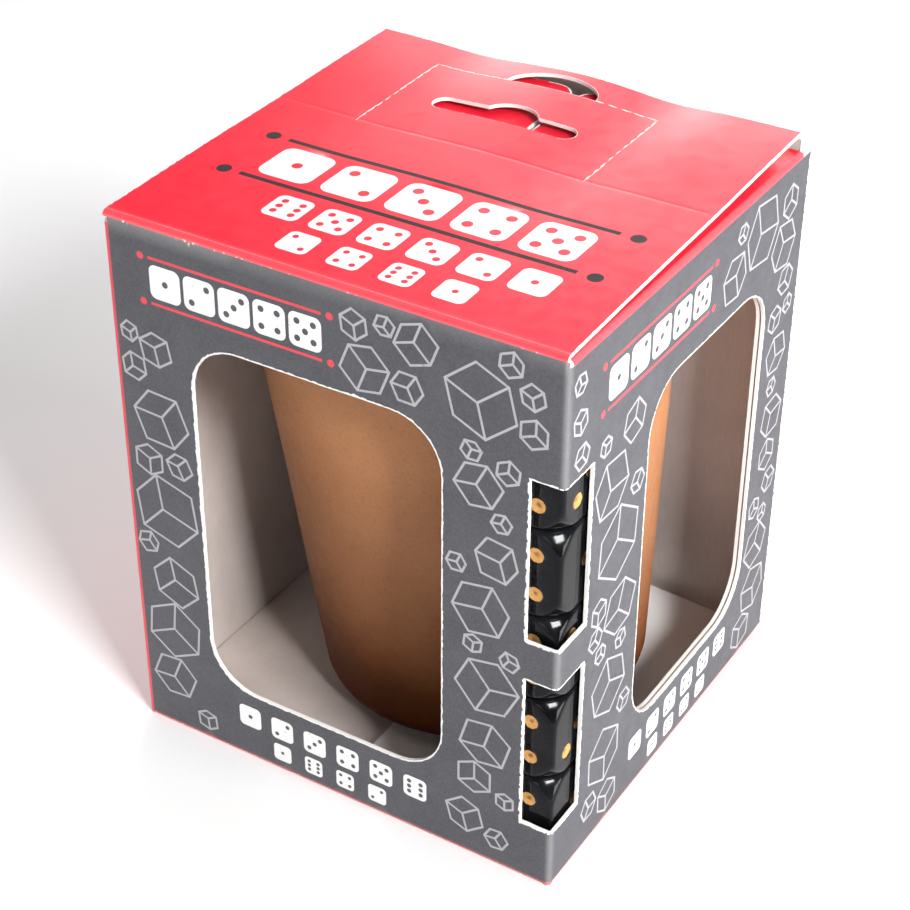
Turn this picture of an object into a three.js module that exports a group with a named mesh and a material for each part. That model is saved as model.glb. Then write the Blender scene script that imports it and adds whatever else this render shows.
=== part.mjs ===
// Boxed leather dice cup: a tuck-top carton of printed board, a tapered cup, and five dice in a corner chute.
// Millimetres, +Z up. The origin is the centre of the carton's underside, and the carton's front faces -Y.
// Inside the file, x runs from the left panel's outer face, y from the front panel's, z from the base.
import * as THREE from 'three';
import { RoundedBoxGeometry } from 'three/addons/geometries/RoundedBoxGeometry.js';
import { mergeVertices } from 'three/addons/utils/BufferGeometryUtils.js';

// Driving dimensions
const CARTON_WIDTH = 82;
const CARTON_DEPTH = 80.5;
const CARTON_HEIGHT = 100;
const BOARD = 0.6;
const GAP = 0.3;
const DIE = 15.8;
const DIE_PITCH = DIE + GAP;
const DICE_COUNT = 5;
const CUP_HEIGHT = 84;
const CUP_BASE_RADIUS = 28.6;
const CUP_TAPER = 0.09;
const CUP_LEAN = 0.074;

// Levels and faces of the carton
const INNER = BOARD + GAP;
const RIGHT_FACE = CARTON_WIDTH - BOARD;
const BACK_FACE = CARTON_DEPTH - BOARD;
const LINER_FACE = RIGHT_FACE - GAP - BOARD;
const FLAP_BOTTOM = CARTON_HEIGHT - 2 * BOARD - GAP;
const WALL_TOP = FLAP_BOTTOM - GAP;
const FRONT_TOP = CARTON_HEIGHT - BOARD - GAP;

// Windows and the cutouts that wrap the front right corner
const WINDOW_RADIUS = 9;
const FRONT_WINDOW = { from: 15.4, to: 61.3, low: 14, high: 81.7 };
const RIGHT_WINDOW = { from: 26.5, to: 67.8, low: 13.6, high: 80.3 };
const CUTOUT_ON_FRONT = 76.2;
const CUTOUT_ON_RIGHT = 8.5;
const CUTOUTS = [{ low: 11.5, high: 41 }, { low: 48.4, high: 77.9 }];

// Lid, with the hanging tab and its slot, in the lid's own frame: y from the fold, z from the fold's axis
const LID_TILT = THREE.MathUtils.degToRad(1.7);
const LID_LENGTH = 79.6;
const LID_FRONT = 0.1;
const LID_LEFT = 0.2;
const LID_RIGHT = 79.8;
const FOLD_CLEARANCE = GAP / 2;
const TAB = { from: 16, to: 58.3, front: 46.5, back: 71.8 };
const THUMB = { centre: 38.2, halfWidth: 8.5, depth: 5.4 };
const SLOT = { from: 23, to: 50, low: 56.7, high: 61.2 };
const HUMP = { centre: 36.5, halfWidth: 4, depth: 2 };
const TUCK_LENGTH = 9.5;
const TUCK_SLOPE = THREE.MathUtils.degToRad(8.5);

// Dust flaps: their front edges fall back from the fold, so that they stay under the lid as both rise
const TOP_FLAP = { length: 40.6, shoulder: 2, slope: 0.62, back: 77.6, corner: 4 };
const BOTTOM_FLAP = { length: 39.4, shoulder: 2, slope: 0.12, back: 77.6, corner: 4 };
const PROP_TILT = THREE.MathUtils.degToRad(2.6);

// Chute in the front right corner
const CHUTE_LEFT = 64.2;
const CHUTE_BEND = 2.6;
const CHUTE_GLUE_END = 75.4;
const CHUTE_FLOOR = 2.75;
const DICE_LEFT = CHUTE_LEFT + BOARD + GAP;
const DICE_FRONT = INNER + BOARD + GAP;
const CHUTE_BACK = DICE_FRONT + DIE + GAP;

// Cup, in its own frame: z along its axis from the middle of its base
const CUP_X = 44.4;
const CUP_Y = 43.1;
const CUP_Z = 3.8;
const LEATHER = 1.6;
const CORE = 1;
const FELT = 0.9;
const BASE_ROUNDING = 5;
const BASE_TURN_UNDER = 9;
const BINDING_OUTSIDE = 5;
const BINDING_INSIDE = 4;
const AROUND = 44;

const red = { color: 0xc41230, roughness: 0.45, metalness: 0 };
const charcoal = { color: 0x3b3a40, roughness: 0.55, metalness: 0 };
const bareBoard = { color: 0xb5a9a2, roughness: 0.9, metalness: 0 };
const tan = { color: 0x8a5430, roughness: 0.6, metalness: 0 };
const former = { color: 0x2c2622, roughness: 0.8, metalness: 0 };
const felt = { color: 0x1d1b1c, roughness: 0.95, metalness: 0 };
const gloss = { color: 0x101012, roughness: 0.12, metalness: 0 };

/** Joins shared corners and turns the faces out, so that the geometry is one closed body. */
function closed(geometry) {
  const bare = geometry.clone();
  bare.deleteAttribute('normal');
  bare.deleteAttribute('uv');
  const body = mergeVertices(bare, 1e-4);
  const index = Array.from(body.index.array);
  const at = body.attributes.position;
  const corner = (i) => new THREE.Vector3().fromBufferAttribute(at, i);
  const kept = [];
  let volume = 0;
  for (let i = 0; i < index.length; i += 3) {
    const [a, b, c] = index.slice(i, i + 3);
    if (a === b || b === c || c === a) {
      continue;
    }
    kept.push(a, b, c);
    volume += corner(a).dot(corner(b).cross(corner(c)));
  }
  body.setIndex(volume < 0 ? kept.reverse() : kept);
  body.computeVertexNormals();
  return body;
}

function piece(name, geometry, look) {
  const mesh = new THREE.Mesh(closed(geometry), new THREE.MeshStandardMaterial(look));
  mesh.name = name;
  return mesh;
}

function outline(points) {
  return new THREE.Shape(points.map(([u, v]) => new THREE.Vector2(u, v)));
}

function sheet(name, shape, look) {
  const geometry = new THREE.ExtrudeGeometry(shape, { depth: BOARD, bevelEnabled: false, curveSegments: 6 });
  return piece(name, geometry, look);
}

/** A sheet that stands across y: its outline is drawn in x and z, and it reaches forward from `inner`. */
function acrossSheet(name, shape, look, inner) {
  const mesh = sheet(name, shape, look);
  mesh.rotation.x = Math.PI / 2;
  mesh.position.y = inner;
  return mesh;
}

/** A sheet that stands along y: its outline is drawn in y and z, and it reaches right from `left`. */
function alongSheet(name, shape, look, left) {
  const mesh = sheet(name, shape, look);
  mesh.rotation.set(Math.PI / 2, Math.PI / 2, 0);
  mesh.position.x = left;
  return mesh;
}

function windowHole({ from, to, low, high }) {
  const r = WINDOW_RADIUS;
  const hole = new THREE.Path();
  hole.absarc(to - r, high - r, r, 0, Math.PI / 2);
  hole.absarc(from + r, high - r, r, Math.PI / 2, Math.PI);
  hole.absarc(from + r, low + r, r, Math.PI, Math.PI * 1.5);
  hole.absarc(to - r, low + r, r, Math.PI * 1.5, Math.PI * 2);
  return hole;
}

/** The edge beside the front right corner, from bottom to top, stepping back at each cutout. */
function notchedEdge(edge, cutBack, top) {
  const points = [[edge, 0]];
  for (const { low, high } of CUTOUTS) {
    points.push([edge, low], [cutBack, low], [cutBack, high], [edge, high]);
  }
  points.push([edge, top]);
  return points;
}

function frontPanel() {
  const shape = outline([[0, 0], ...notchedEdge(CARTON_WIDTH, CUTOUT_ON_FRONT, FRONT_TOP), [0, FRONT_TOP]]);
  shape.holes.push(windowHole(FRONT_WINDOW));
  return acrossSheet('front_panel', shape, charcoal, BOARD);
}

function rightPanel() {
  const edge = notchedEdge(INNER, CUTOUT_ON_RIGHT, WALL_TOP);
  const shape = outline([...edge.reverse(), [CARTON_DEPTH, 0], [CARTON_DEPTH, WALL_TOP]]);
  shape.holes.push(windowHole(RIGHT_WINDOW));
  return alongSheet('right_panel', shape, charcoal, RIGHT_FACE);
}

function rectangle(u0, u1, v0, v1) {
  return outline([[u0, v0], [u1, v0], [u1, v1], [u0, v1]]);
}

function plainWalls() {
  const back = rectangle(0, RIGHT_FACE - GAP, 0, CARTON_HEIGHT);
  const left = rectangle(INNER, BACK_FACE - GAP, 0, WALL_TOP);
  return [
    acrossSheet('back_panel', back, red, CARTON_DEPTH),
    alongSheet('left_panel', left, red, 0),
  ];
}

function rightLiner() {
  const shape = rectangle(CHUTE_BACK + BOARD + GAP, BACK_FACE - GAP, INNER, WALL_TOP);
  shape.holes.push(windowHole(RIGHT_WINDOW));
  return alongSheet('right_liner', shape, bareBoard, LINER_FACE);
}

/** The bent wall round the dice, drawn in plan and drawn up: a side leg, a rounded bend and a back leg. */
function chutePartition() {
  const back = CHUTE_BACK + BOARD;
  const centreX = CHUTE_LEFT + CHUTE_BEND;
  const centreY = back - CHUTE_BEND;
  const shape = new THREE.Shape();
  shape.moveTo(CHUTE_LEFT, DICE_FRONT);
  shape.absarc(centreX, centreY, CHUTE_BEND, Math.PI, Math.PI / 2, true);
  shape.lineTo(LINER_FACE - GAP, back);
  shape.lineTo(LINER_FACE - GAP, CHUTE_BACK);
  shape.absarc(centreX, centreY, CHUTE_BEND - BOARD, Math.PI / 2, Math.PI, false);
  shape.lineTo(CHUTE_LEFT + BOARD, DICE_FRONT);
  const depth = WALL_TOP - CHUTE_FLOOR;
  const geometry = new THREE.ExtrudeGeometry(shape, { depth, bevelEnabled: false, curveSegments: 4 });
  const mesh = piece('chute_partition', geometry, bareBoard);
  mesh.position.z = CHUTE_FLOOR;
  return mesh;
}

/** A glued strip inside the front panel, and the floor under the dice with one corner cut for the bend. */
function chuteTabs() {
  const glue = rectangle(CHUTE_LEFT, CHUTE_GLUE_END, CHUTE_FLOOR, WALL_TOP);
  const right = DICE_LEFT + DIE;
  const back = DICE_FRONT + DIE;
  const cut = CHUTE_BEND - BOARD;
  const floorShape = outline([
    [DICE_LEFT, DICE_FRONT],
    [right, DICE_FRONT],
    [right, back],
    [DICE_LEFT + cut, back],
    [DICE_LEFT, back - cut],
  ]);
  const floor = sheet('chute_floor_tab', floorShape, bareBoard);
  floor.position.z = CHUTE_FLOOR;
  return [acrossSheet('chute_glue_flap', glue, bareBoard, INNER + BOARD), floor];
}

/** The bottom folds back from the front panel and is glued up under the two dust flaps. */
function bottomPanel() {
  return sheet('bottom_panel', rectangle(INNER, RIGHT_FACE - GAP, INNER, BACK_FACE - GAP), red);
}

/** A dust flap drawn from its fold at u = 0, with v along the fold. */
function dustFlapShape({ length, shoulder, slope, back, corner }) {
  const shape = new THREE.Shape();
  shape.moveTo(0, shoulder);
  shape.lineTo(length, shoulder + slope * length);
  shape.lineTo(length, back - corner);
  shape.absarc(length - corner, back - corner, corner, 0, Math.PI / 2, false);
  shape.lineTo(0, back);
  return shape;
}

function leftFlap(name, size, level, start) {
  const flap = sheet(name, dustFlapShape(size), red);
  flap.position.set(start, 0, level);
  return flap;
}

/** The right flap is the left one turned over about its fold, and can stand up from it by `tilt`. */
function rightFlap(name, size, level, start, tilt) {
  const flap = sheet(name, dustFlapShape(size), red);
  flap.rotation.y = Math.PI;
  flap.position.z = BOARD;
  const fold = new THREE.Group();
  fold.position.set(start, 0, level);
  fold.rotation.y = tilt;
  fold.add(flap);
  return fold;
}

function dustFlaps() {
  const bottomLevel = BOARD + GAP;
  const wall = BOARD + GAP;
  return [
    leftFlap('left_top_dust_flap', TOP_FLAP, FLAP_BOTTOM, 0),
    rightFlap('right_top_dust_flap', TOP_FLAP, FLAP_BOTTOM, CARTON_WIDTH, 0),
    leftFlap('left_bottom_dust_flap', BOTTOM_FLAP, bottomLevel, wall),
    rightFlap('right_bottom_dust_flap', BOTTOM_FLAP, bottomLevel, LINER_FACE - GAP, PROP_TILT),
  ];
}

/** The tab's opening and, behind it, the half-moon for a thumb, as one hole in the lid. */
function tabOpening() {
  const hole = new THREE.Path();
  hole.moveTo(TAB.from - GAP, TAB.front - GAP);
  hole.lineTo(TAB.to + GAP, TAB.front - GAP);
  hole.lineTo(TAB.to + GAP, TAB.back);
  hole.absellipse(THUMB.centre, TAB.back, THUMB.halfWidth, THUMB.depth, 0, Math.PI);
  hole.lineTo(TAB.from - GAP, TAB.back);
  return hole;
}

/** The hanging slot: a long slot with round ends and a hump in the middle of its back edge. */
function hangingSlot() {
  const r = (SLOT.high - SLOT.low) / 2;
  const middle = SLOT.low + r;
  const hole = new THREE.Path();
  hole.absarc(SLOT.to - r, middle, r, -Math.PI / 2, Math.PI / 2);
  hole.absellipse(HUMP.centre, SLOT.high, HUMP.halfWidth, HUMP.depth, 0, Math.PI);
  hole.absarc(SLOT.from + r, middle, r, Math.PI / 2, Math.PI * 1.5);
  return hole;
}

function lid() {
  const panelShape = rectangle(LID_LEFT, LID_RIGHT, LID_FRONT, LID_LENGTH);
  panelShape.holes.push(tabOpening());
  const panel = sheet('lid_panel', panelShape, red);
  panel.position.z = FOLD_CLEARANCE;

  const tabShape = rectangle(TAB.from, TAB.to, TAB.front, TAB.back - GAP);
  tabShape.holes.push(hangingSlot());
  const tab = sheet('hang_tab', tabShape, red);
  tab.position.z = FOLD_CLEARANCE;

  const tuck = acrossSheet('lid_tuck_flap', rectangle(4, 76, -TUCK_LENGTH, -FOLD_CLEARANCE), red, 0);
  const tuckFold = new THREE.Group();
  tuckFold.position.y = LID_LENGTH;
  tuckFold.rotation.x = -TUCK_SLOPE;
  tuckFold.add(tuck);

  const group = new THREE.Group();
  group.position.z = FRONT_TOP + FOLD_CLEARANCE;
  group.rotation.x = LID_TILT;
  group.add(panel, tab, tuckFold);
  return group;
}

function turned(name, profile, look) {
  const points = profile.map(([r, z]) => new THREE.Vector2(r, z));
  const mesh = piece(name, new THREE.LatheGeometry(points, AROUND), look);
  mesh.rotation.x = Math.PI / 2;
  return mesh;
}

/** The cup's outer radius at a height, less the layers outside `inset`. */
function cupRadius(height, inset = 0) {
  return CUP_BASE_RADIUS + CUP_TAPER * height - inset;
}

/** A quarter round from the underside out to the wall, at the foot of the outer leather. */
function footRounding(inset) {
  const points = [];
  const steps = 4;
  const radius = BASE_ROUNDING - inset;
  const centre = cupRadius(BASE_ROUNDING) - BASE_ROUNDING;
  for (let i = 0; i <= steps; i += 1) {
    const angle = -Math.PI / 2 + (Math.PI / 2) * (i / steps);
    points.push([centre + radius * Math.cos(angle), BASE_ROUNDING + radius * Math.sin(angle)]);
  }
  return points;
}

function cupOuterWall() {
  const top = CUP_HEIGHT - BINDING_OUTSIDE;
  const under = CUP_BASE_RADIUS - BASE_TURN_UNDER;
  const profile = [
    [under, 0],
    ...footRounding(0),
    [cupRadius(top), top],
    [cupRadius(top, LEATHER), top],
    ...footRounding(LEATHER).reverse(),
    [under, LEATHER],
    [under, 0],
  ];
  return turned('cup_outer_wall', profile, tan);
}

function cupBaseDisc() {
  const radius = CUP_BASE_RADIUS - BASE_TURN_UNDER - GAP;
  return turned('cup_base_disc', [[0, 0], [radius, 0], [radius, LEATHER], [0, LEATHER]], tan);
}

function cupCore() {
  const outside = LEATHER + GAP;
  const inside = outside + CORE;
  const foot = LEATHER + GAP;
  const floor = foot + CORE;
  const top = CUP_HEIGHT - LEATHER - GAP;
  const footRadius = cupRadius(BASE_ROUNDING) - BASE_ROUNDING;
  const profile = [
    [0, foot],
    [footRadius, foot],
    [cupRadius(BASE_ROUNDING, outside), BASE_ROUNDING],
    [cupRadius(top, outside), top],
    [cupRadius(top, inside), top],
    [cupRadius(BASE_ROUNDING, inside), BASE_ROUNDING],
    [footRadius - CORE, floor],
    [0, floor],
  ];
  return turned('cup_core', profile, former);
}

/** Everything inside the core starts above its floor and its rounded foot. */
const LINING_FOOT = BASE_ROUNDING + GAP;
const LINING_INSET = LEATHER + CORE + 2 * GAP;

function cupLining() {
  const top = CUP_HEIGHT - BINDING_INSIDE;
  const profile = [
    [cupRadius(LINING_FOOT, LINING_INSET + FELT), LINING_FOOT],
    [cupRadius(LINING_FOOT, LINING_INSET), LINING_FOOT],
    [cupRadius(top, LINING_INSET), top],
    [cupRadius(top, LINING_INSET + FELT), top],
    [cupRadius(LINING_FOOT, LINING_INSET + FELT), LINING_FOOT],
  ];
  return turned('cup_lining', profile, felt);
}

function cupFloorPad() {
  const low = LEATHER + CORE + 2 * GAP;
  const high = LINING_FOOT + FELT;
  const foot = cupRadius(BASE_ROUNDING) - BASE_ROUNDING - CORE - 2 * GAP;
  const radius = cupRadius(LINING_FOOT, LINING_INSET + FELT + GAP);
  const profile = [[0, low], [foot, low], [radius, LINING_FOOT], [radius, high], [0, high]];
  return turned('cup_floor_pad', profile, felt);
}

/** Leather folded over the rim, flush with the outer wall outside and with the lining inside. */
function cupRimBinding() {
  const outsideFoot = CUP_HEIGHT - BINDING_OUTSIDE + GAP;
  const insideFoot = CUP_HEIGHT - BINDING_INSIDE + GAP;
  const underTop = CUP_HEIGHT - LEATHER;
  const inset = LINING_INSET + FELT;
  const edge = LEATHER / 2;
  const profile = [
    [cupRadius(outsideFoot), outsideFoot],
    [cupRadius(CUP_HEIGHT - edge), CUP_HEIGHT - edge],
    [cupRadius(CUP_HEIGHT, edge), CUP_HEIGHT],
    [cupRadius(CUP_HEIGHT, inset - edge), CUP_HEIGHT],
    [cupRadius(CUP_HEIGHT - edge, inset), CUP_HEIGHT - edge],
    [cupRadius(insideFoot, inset), insideFoot],
    [cupRadius(insideFoot, LINING_INSET), insideFoot],
    [cupRadius(underTop, LINING_INSET), underTop],
    [cupRadius(underTop, LEATHER), underTop],
    [cupRadius(outsideFoot, LEATHER), outsideFoot],
    [cupRadius(outsideFoot), outsideFoot],
  ];
  return turned('cup_rim_binding', profile, tan);
}

/** The cup leans to the left, propped by the right bottom flap, with its rim near the left panel. */
function cup() {
  const group = new THREE.Group();
  group.position.set(CUP_X, CUP_Y, CUP_Z);
  group.rotation.y = -CUP_LEAN;
  group.add(cupOuterWall(), cupBaseDisc(), cupCore(), cupLining(), cupFloorPad(), cupRimBinding());
  return group;
}

function dice() {
  const stack = [];
  const firstCentre = CHUTE_FLOOR + BOARD + GAP + DIE / 2;
  for (let i = 0; i < DICE_COUNT; i += 1) {
    const die = piece(`die_${i + 1}`, new RoundedBoxGeometry(DIE, DIE, DIE, 2, 1.5), gloss);
    die.position.set(DICE_LEFT + DIE / 2, DICE_FRONT + DIE / 2, firstCentre + i * DIE_PITCH);
    stack.push(die);
  }
  return stack;
}

const boxedCup = new THREE.Group();
boxedCup.position.set(-CARTON_WIDTH / 2, -CARTON_DEPTH / 2, 0);
boxedCup.add(frontPanel(), rightPanel(), ...plainWalls(), rightLiner());
boxedCup.add(chutePartition(), ...chuteTabs(), bottomPanel(), ...dustFlaps());
boxedCup.add(lid(), cup(), ...dice());

export default boxedCup;
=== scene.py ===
"""Looks of the boxed leather dice cup: folded printed board, a stitched leather cup and black dice.

Shapes are worked out in millimetres from the carton's front left bottom corner, x right, y back and z up,
and turned into the frame's metres when a mesh is made.
"""
import math
import random

import bmesh
import bpy
import numpy as np
from mathutils import Matrix, Vector, noise
from mathutils.geometry import delaunay_2d_cdt


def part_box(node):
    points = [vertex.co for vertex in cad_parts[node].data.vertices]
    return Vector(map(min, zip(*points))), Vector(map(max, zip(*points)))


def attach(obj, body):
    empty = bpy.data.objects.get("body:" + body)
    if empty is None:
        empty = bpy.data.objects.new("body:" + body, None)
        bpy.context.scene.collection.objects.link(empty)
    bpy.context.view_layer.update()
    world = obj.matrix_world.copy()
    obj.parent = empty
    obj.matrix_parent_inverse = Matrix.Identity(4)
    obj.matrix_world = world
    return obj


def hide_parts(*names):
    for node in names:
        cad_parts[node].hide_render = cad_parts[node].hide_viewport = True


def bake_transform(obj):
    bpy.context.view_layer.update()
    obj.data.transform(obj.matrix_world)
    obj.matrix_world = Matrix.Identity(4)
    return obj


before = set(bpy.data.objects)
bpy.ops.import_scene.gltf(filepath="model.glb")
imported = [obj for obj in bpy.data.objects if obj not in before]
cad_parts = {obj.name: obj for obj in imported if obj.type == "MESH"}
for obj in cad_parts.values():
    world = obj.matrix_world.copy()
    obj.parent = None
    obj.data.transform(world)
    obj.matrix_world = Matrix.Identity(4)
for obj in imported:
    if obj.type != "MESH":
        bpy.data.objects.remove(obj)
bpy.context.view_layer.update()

noise.seed_set(1)  # the wander of the torn edges is the same in each run

MM = 0.001
FRONT_LOW, FRONT_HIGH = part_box("front_panel")
WIDTH = (FRONT_HIGH.x - FRONT_LOW.x) / MM
DEPTH = (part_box("back_panel")[1].y - FRONT_LOW.y) / MM
ORIGIN = np.array([WIDTH / 2, DEPTH / 2, 0])


def node_box(node):
    """A CAD node's lowest and highest corners in millimetres from the carton's corner."""
    low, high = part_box(node)
    return np.array(low) / MM + ORIGIN, np.array(high) / MM + ORIGIN


def to_frame(points):
    return (np.asarray(points, float) - ORIGIN) * MM


# Levels and faces of the carton, read from the frame
BOARD = node_box("front_panel")[1][1]
HALF = BOARD / 2
WALL_TOP = node_box("right_panel")[1][2]
FRONT_TOP = node_box("front_panel")[1][2]
CARTON_TOP = node_box("back_panel")[1][2]
LINER_MIDDLE = node_box("right_liner")[0][0] + HALF
CHUTE_LEFT = node_box("chute_partition")[0][0]
CHUTE_FOOT = node_box("chute_partition")[0][2]
CHUTE_REAR = node_box("chute_partition")[1][1]
GLUE_MIDDLE = node_box("chute_glue_flap")[0][1] + HALF
GLUE_END = node_box("chute_glue_flap")[1][0]
LID_LOW, LID_HIGH = node_box("lid_panel")

# Windows and cutouts, as the CAD has them
FRONT_WINDOW = (15.4, 61.3, 14.0, 81.7)
RIGHT_WINDOW = (26.5, 67.8, 13.6, 80.3)
WINDOW_RADIUS = 9.0
CUTOUTS = ((11.5, 41.0), (48.4, 77.9))
CUTOUT_ON_FRONT = 76.2
CUTOUT_ON_RIGHT = 8.5

# Lid, tab and slot, as the CAD has them
TAB_LEFT, TAB_RIGHT, TAB_FRONT, TAB_BACK = 16.0, 58.3, 46.5, 71.5
THUMB_CENTRE, THUMB_HALF, THUMB_DEPTH = 38.2, 8.5, 5.4
SLOT_LEFT, SLOT_RIGHT, SLOT_LOW, SLOT_HIGH = 23.0, 50.0, 56.7, 61.0
HUMP_CENTRE, HUMP_HALF, HUMP_DEPTH = 37.2, 4.2, 2.5

# Cup, as the CAD has it
CUP_BASE = np.array([44.4, 43.1, 3.8])
CUP_LEAN = 0.074
CUP_HEIGHT = 84.0
CUP_RADIUS = 28.6
CUP_TAPER = 0.09
LEATHER = 1.6
CORE = 1.0
FELT = 0.9
GAP = 0.3

FOLD_RADIUS = 0.6
FOLD_LENGTH = FOLD_RADIUS * math.pi / 2
PRINT, INSIDE, CUT, LINE_ART, WHITE_ART, DARK_ART = range(6)


# ---------------------------------------------------------------- materials

class Graph:
    """A material under construction: `add` makes a node, sets its fields and feeds its inputs."""

    def __init__(self, name):
        self.material = bpy.data.materials.new(name)
        self.material.use_nodes = True
        self.nodes = self.material.node_tree.nodes
        self.links = self.material.node_tree.links
        self.shader = self.nodes["Principled BSDF"]
        self.place = self.add("ShaderNodeTexCoord").outputs["Object"]

    def feed(self, socket, value):
        if isinstance(value, bpy.types.NodeSocket):
            self.links.new(value, socket)
        else:
            socket.default_value = value

    def add(self, kind, inputs=None, **fields):
        node = self.nodes.new(kind)
        for field, value in fields.items():
            setattr(node, field, value)
        for key, value in (inputs or {}).items():
            self.feed(node.inputs[key], value)
        return node

    def noise(self, scale, detail=3.0, roughness=0.5, vector=None):
        inputs = {"Vector": vector or self.place, "Scale": scale, "Detail": detail, "Roughness": roughness}
        return self.add("ShaderNodeTexNoise", inputs).outputs["Fac"]

    def cells(self, scale, feature="F1", smoothness=0.6):
        node = self.add("ShaderNodeTexVoronoi", {"Vector": self.place, "Scale": scale}, feature=feature)
        if feature == "SMOOTH_F1":
            node.inputs["Smoothness"].default_value = smoothness
        return node.outputs["Distance"]

    def attribute(self, name):
        return self.add("ShaderNodeAttribute", attribute_name=name).outputs["Fac"]

    def calculate(self, operation, a, b=0.0, clamp=False):
        return self.add("ShaderNodeMath", {0: a, 1: b}, operation=operation, use_clamp=clamp).outputs[0]

    def span(self, value, low, high, to_low=0.0, to_high=1.0):
        inputs = {"Value": value, "From Min": low, "From Max": high, "To Min": to_low, "To Max": to_high}
        return self.add("ShaderNodeMapRange", inputs).outputs["Result"]

    def blend(self, amount, a, b, kind="MIX"):
        node = self.add("ShaderNodeMix", data_type="RGBA", blend_type=kind)
        for key, value in ((0, amount), (6, a), (7, b)):
            self.feed(node.inputs[key], value)
        return node.outputs[2]

    def bump(self, height, strength, distance, normal=None):
        inputs = {"Height": height, "Strength": strength, "Distance": distance}
        if normal is not None:
            inputs["Normal"] = normal
        return self.add("ShaderNodeBump", inputs).outputs["Normal"]

    def finish(self, **sockets):
        for key, value in sockets.items():
            self.feed(self.shader.inputs[key.replace("_", " ")], value)
        return self.material


def rgb(red, green, blue):
    return (red, green, blue, 1.0)


PAPER_WHITE = rgb(0.83, 0.81, 0.78)


def printed_board(name, ink, deep_ink, roughness, foot_ink=None, speckle=0.25, shine=0.5):
    """Coated print: uneven ink, fine paper tooth, and white board where it is cut or cracked at a fold."""
    g = Graph(name)
    mottled = g.blend(g.span(g.noise(160, 4), 0.3, 0.7), ink, deep_ink)
    grain = g.span(g.noise(2600, 2), 0.35, 0.7)
    lighter = rgb(*(min(1.0, c * 1.5 + 0.02) for c in ink[:3]))
    colour = g.blend(g.calculate("MULTIPLY", grain, speckle), mottled, lighter)
    if foot_ink is not None:
        height = g.add("ShaderNodeSeparateXYZ", {0: g.place}).outputs["Z"]
        colour = g.blend(g.span(height, 0.00045, 0.0006, 1.0, 0.0), colour, foot_ink)
    ragged = g.noise(900, 4, 0.7)
    cut = g.span(g.calculate("ADD", g.attribute("cut"), g.calculate("MULTIPLY", ragged, 1.3)), 1.16, 1.26)
    patches = g.calculate("MULTIPLY", g.noise(230, 2), g.noise(1500, 3, 0.7))
    cracked = g.span(g.calculate("MULTIPLY", g.attribute("fold"), patches), 0.31, 0.38)
    worn = g.calculate("MAXIMUM", cut, cracked, clamp=True)
    rubbed = g.calculate("MULTIPLY", g.attribute("fold"), 0.16)
    colour = g.blend(rubbed, colour, PAPER_WHITE)
    colour = g.blend(worn, colour, PAPER_WHITE)
    tooth = g.bump(g.noise(1900, 3, 0.6), 0.16, 0.00004)
    wave = g.bump(g.noise(30, 1), 0.04, 0.0003, tooth)
    sheen = g.span(g.noise(420, 3), 0.3, 0.7, roughness - 0.03, roughness + 0.04)
    gloss = g.blend(worn, sheen, rgb(0.9, 0.9, 0.9))
    return g.finish(Base_Color=colour, Roughness=gloss, Normal=wave, Specular_IOR_Level=shine)


def bare_board(name, light, dark, roughness=0.85):
    """Uncoated board: warm grey with fibres and faint mottling."""
    g = Graph(name)
    fibres = g.noise(1700, 5, 0.65)
    stretched = g.add("ShaderNodeMapping", {"Vector": g.place, "Scale": (3.0, 3.0, 0.5)}).outputs[0]
    streaks = g.noise(650, 4, 0.6, stretched)
    colour = g.blend(g.span(g.noise(90, 4), 0.3, 0.7), light, dark)
    colour = g.blend(g.span(streaks, 0.45, 0.8, 0.0, 0.15), colour, PAPER_WHITE)
    return g.finish(Base_Color=colour, Roughness=roughness, Normal=g.bump(fibres, 0.3, 0.00006))


def flat_ink(name, ink, tint, roughness=0.42, shine=0.4):
    """A solid ink area: slightly uneven, with pinholes that show the tint below."""
    g = Graph(name)
    pinholes = g.span(g.noise(2300, 3, 0.6), 0.62, 0.72, 0.0, 0.7)
    uneven = g.blend(g.noise(300, 2), ink, rgb(*(c * 0.93 for c in ink[:3])))
    colour = g.blend(pinholes, uneven, tint)
    tooth = g.bump(g.noise(1900, 3), 0.1, 0.00004)
    return g.finish(Base_Color=colour, Roughness=roughness, Normal=tooth, Specular_IOR_Level=shine)


def cup_leather(name):
    """Matte tan leather: fine pebble grain and a cloudy dye, with painted shade that darkens it towards the
    foot.
    """
    g = Graph(name)
    clouds = g.span(g.noise(38, 4, 0.55), 0.3, 0.72)
    colour = g.blend(clouds, rgb(0.49, 0.215, 0.092), rgb(0.4, 0.165, 0.064))
    flecks = g.span(g.noise(1500, 4, 0.7), 0.5, 0.75, 0.0, 0.4)
    colour = g.blend(flecks, colour, rgb(0.47, 0.25, 0.13))
    pebbles = g.cells(1900, "SMOOTH_F1")
    pores = g.span(g.cells(2600, "F1"), 0.0, 0.28)
    colour = g.blend(g.span(pebbles, 0.5, 0.95, 0.0, 0.25), colour, rgb(0.2, 0.085, 0.035))
    height = g.add("ShaderNodeSeparateXYZ", {0: g.place}).outputs["Z"]
    # Painted shade: the leather is darkened to near black over the lowest few millimetres, standing in for
    # the shadow at the cup's foot.
    foot_shade_height = g.calculate("ADD", height, g.span(g.noise(60, 3), 0.3, 0.7, -0.003, 0.003))
    painted_foot_shade = g.span(foot_shade_height, 0.005, 0.062, 0.98, 0.0)
    colour = g.blend(painted_foot_shade, colour, rgb(0.075, 0.012, 0.0005))
    grain = g.bump(g.calculate("MULTIPLY", pebbles, -1.0), 0.35, 0.0001)
    fine = g.bump(pores, 0.2, 0.00004, grain)
    creases = g.bump(g.noise(240, 5, 0.6), 0.25, 0.0002, fine)
    roughness = g.span(g.noise(500, 3), 0.3, 0.7, 0.5, 0.64)
    shine = g.span(height, 0.005, 0.05, 0.04, 0.26)
    return g.finish(Base_Color=colour, Roughness=roughness, Normal=creases, Specular_IOR_Level=shine)


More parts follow.
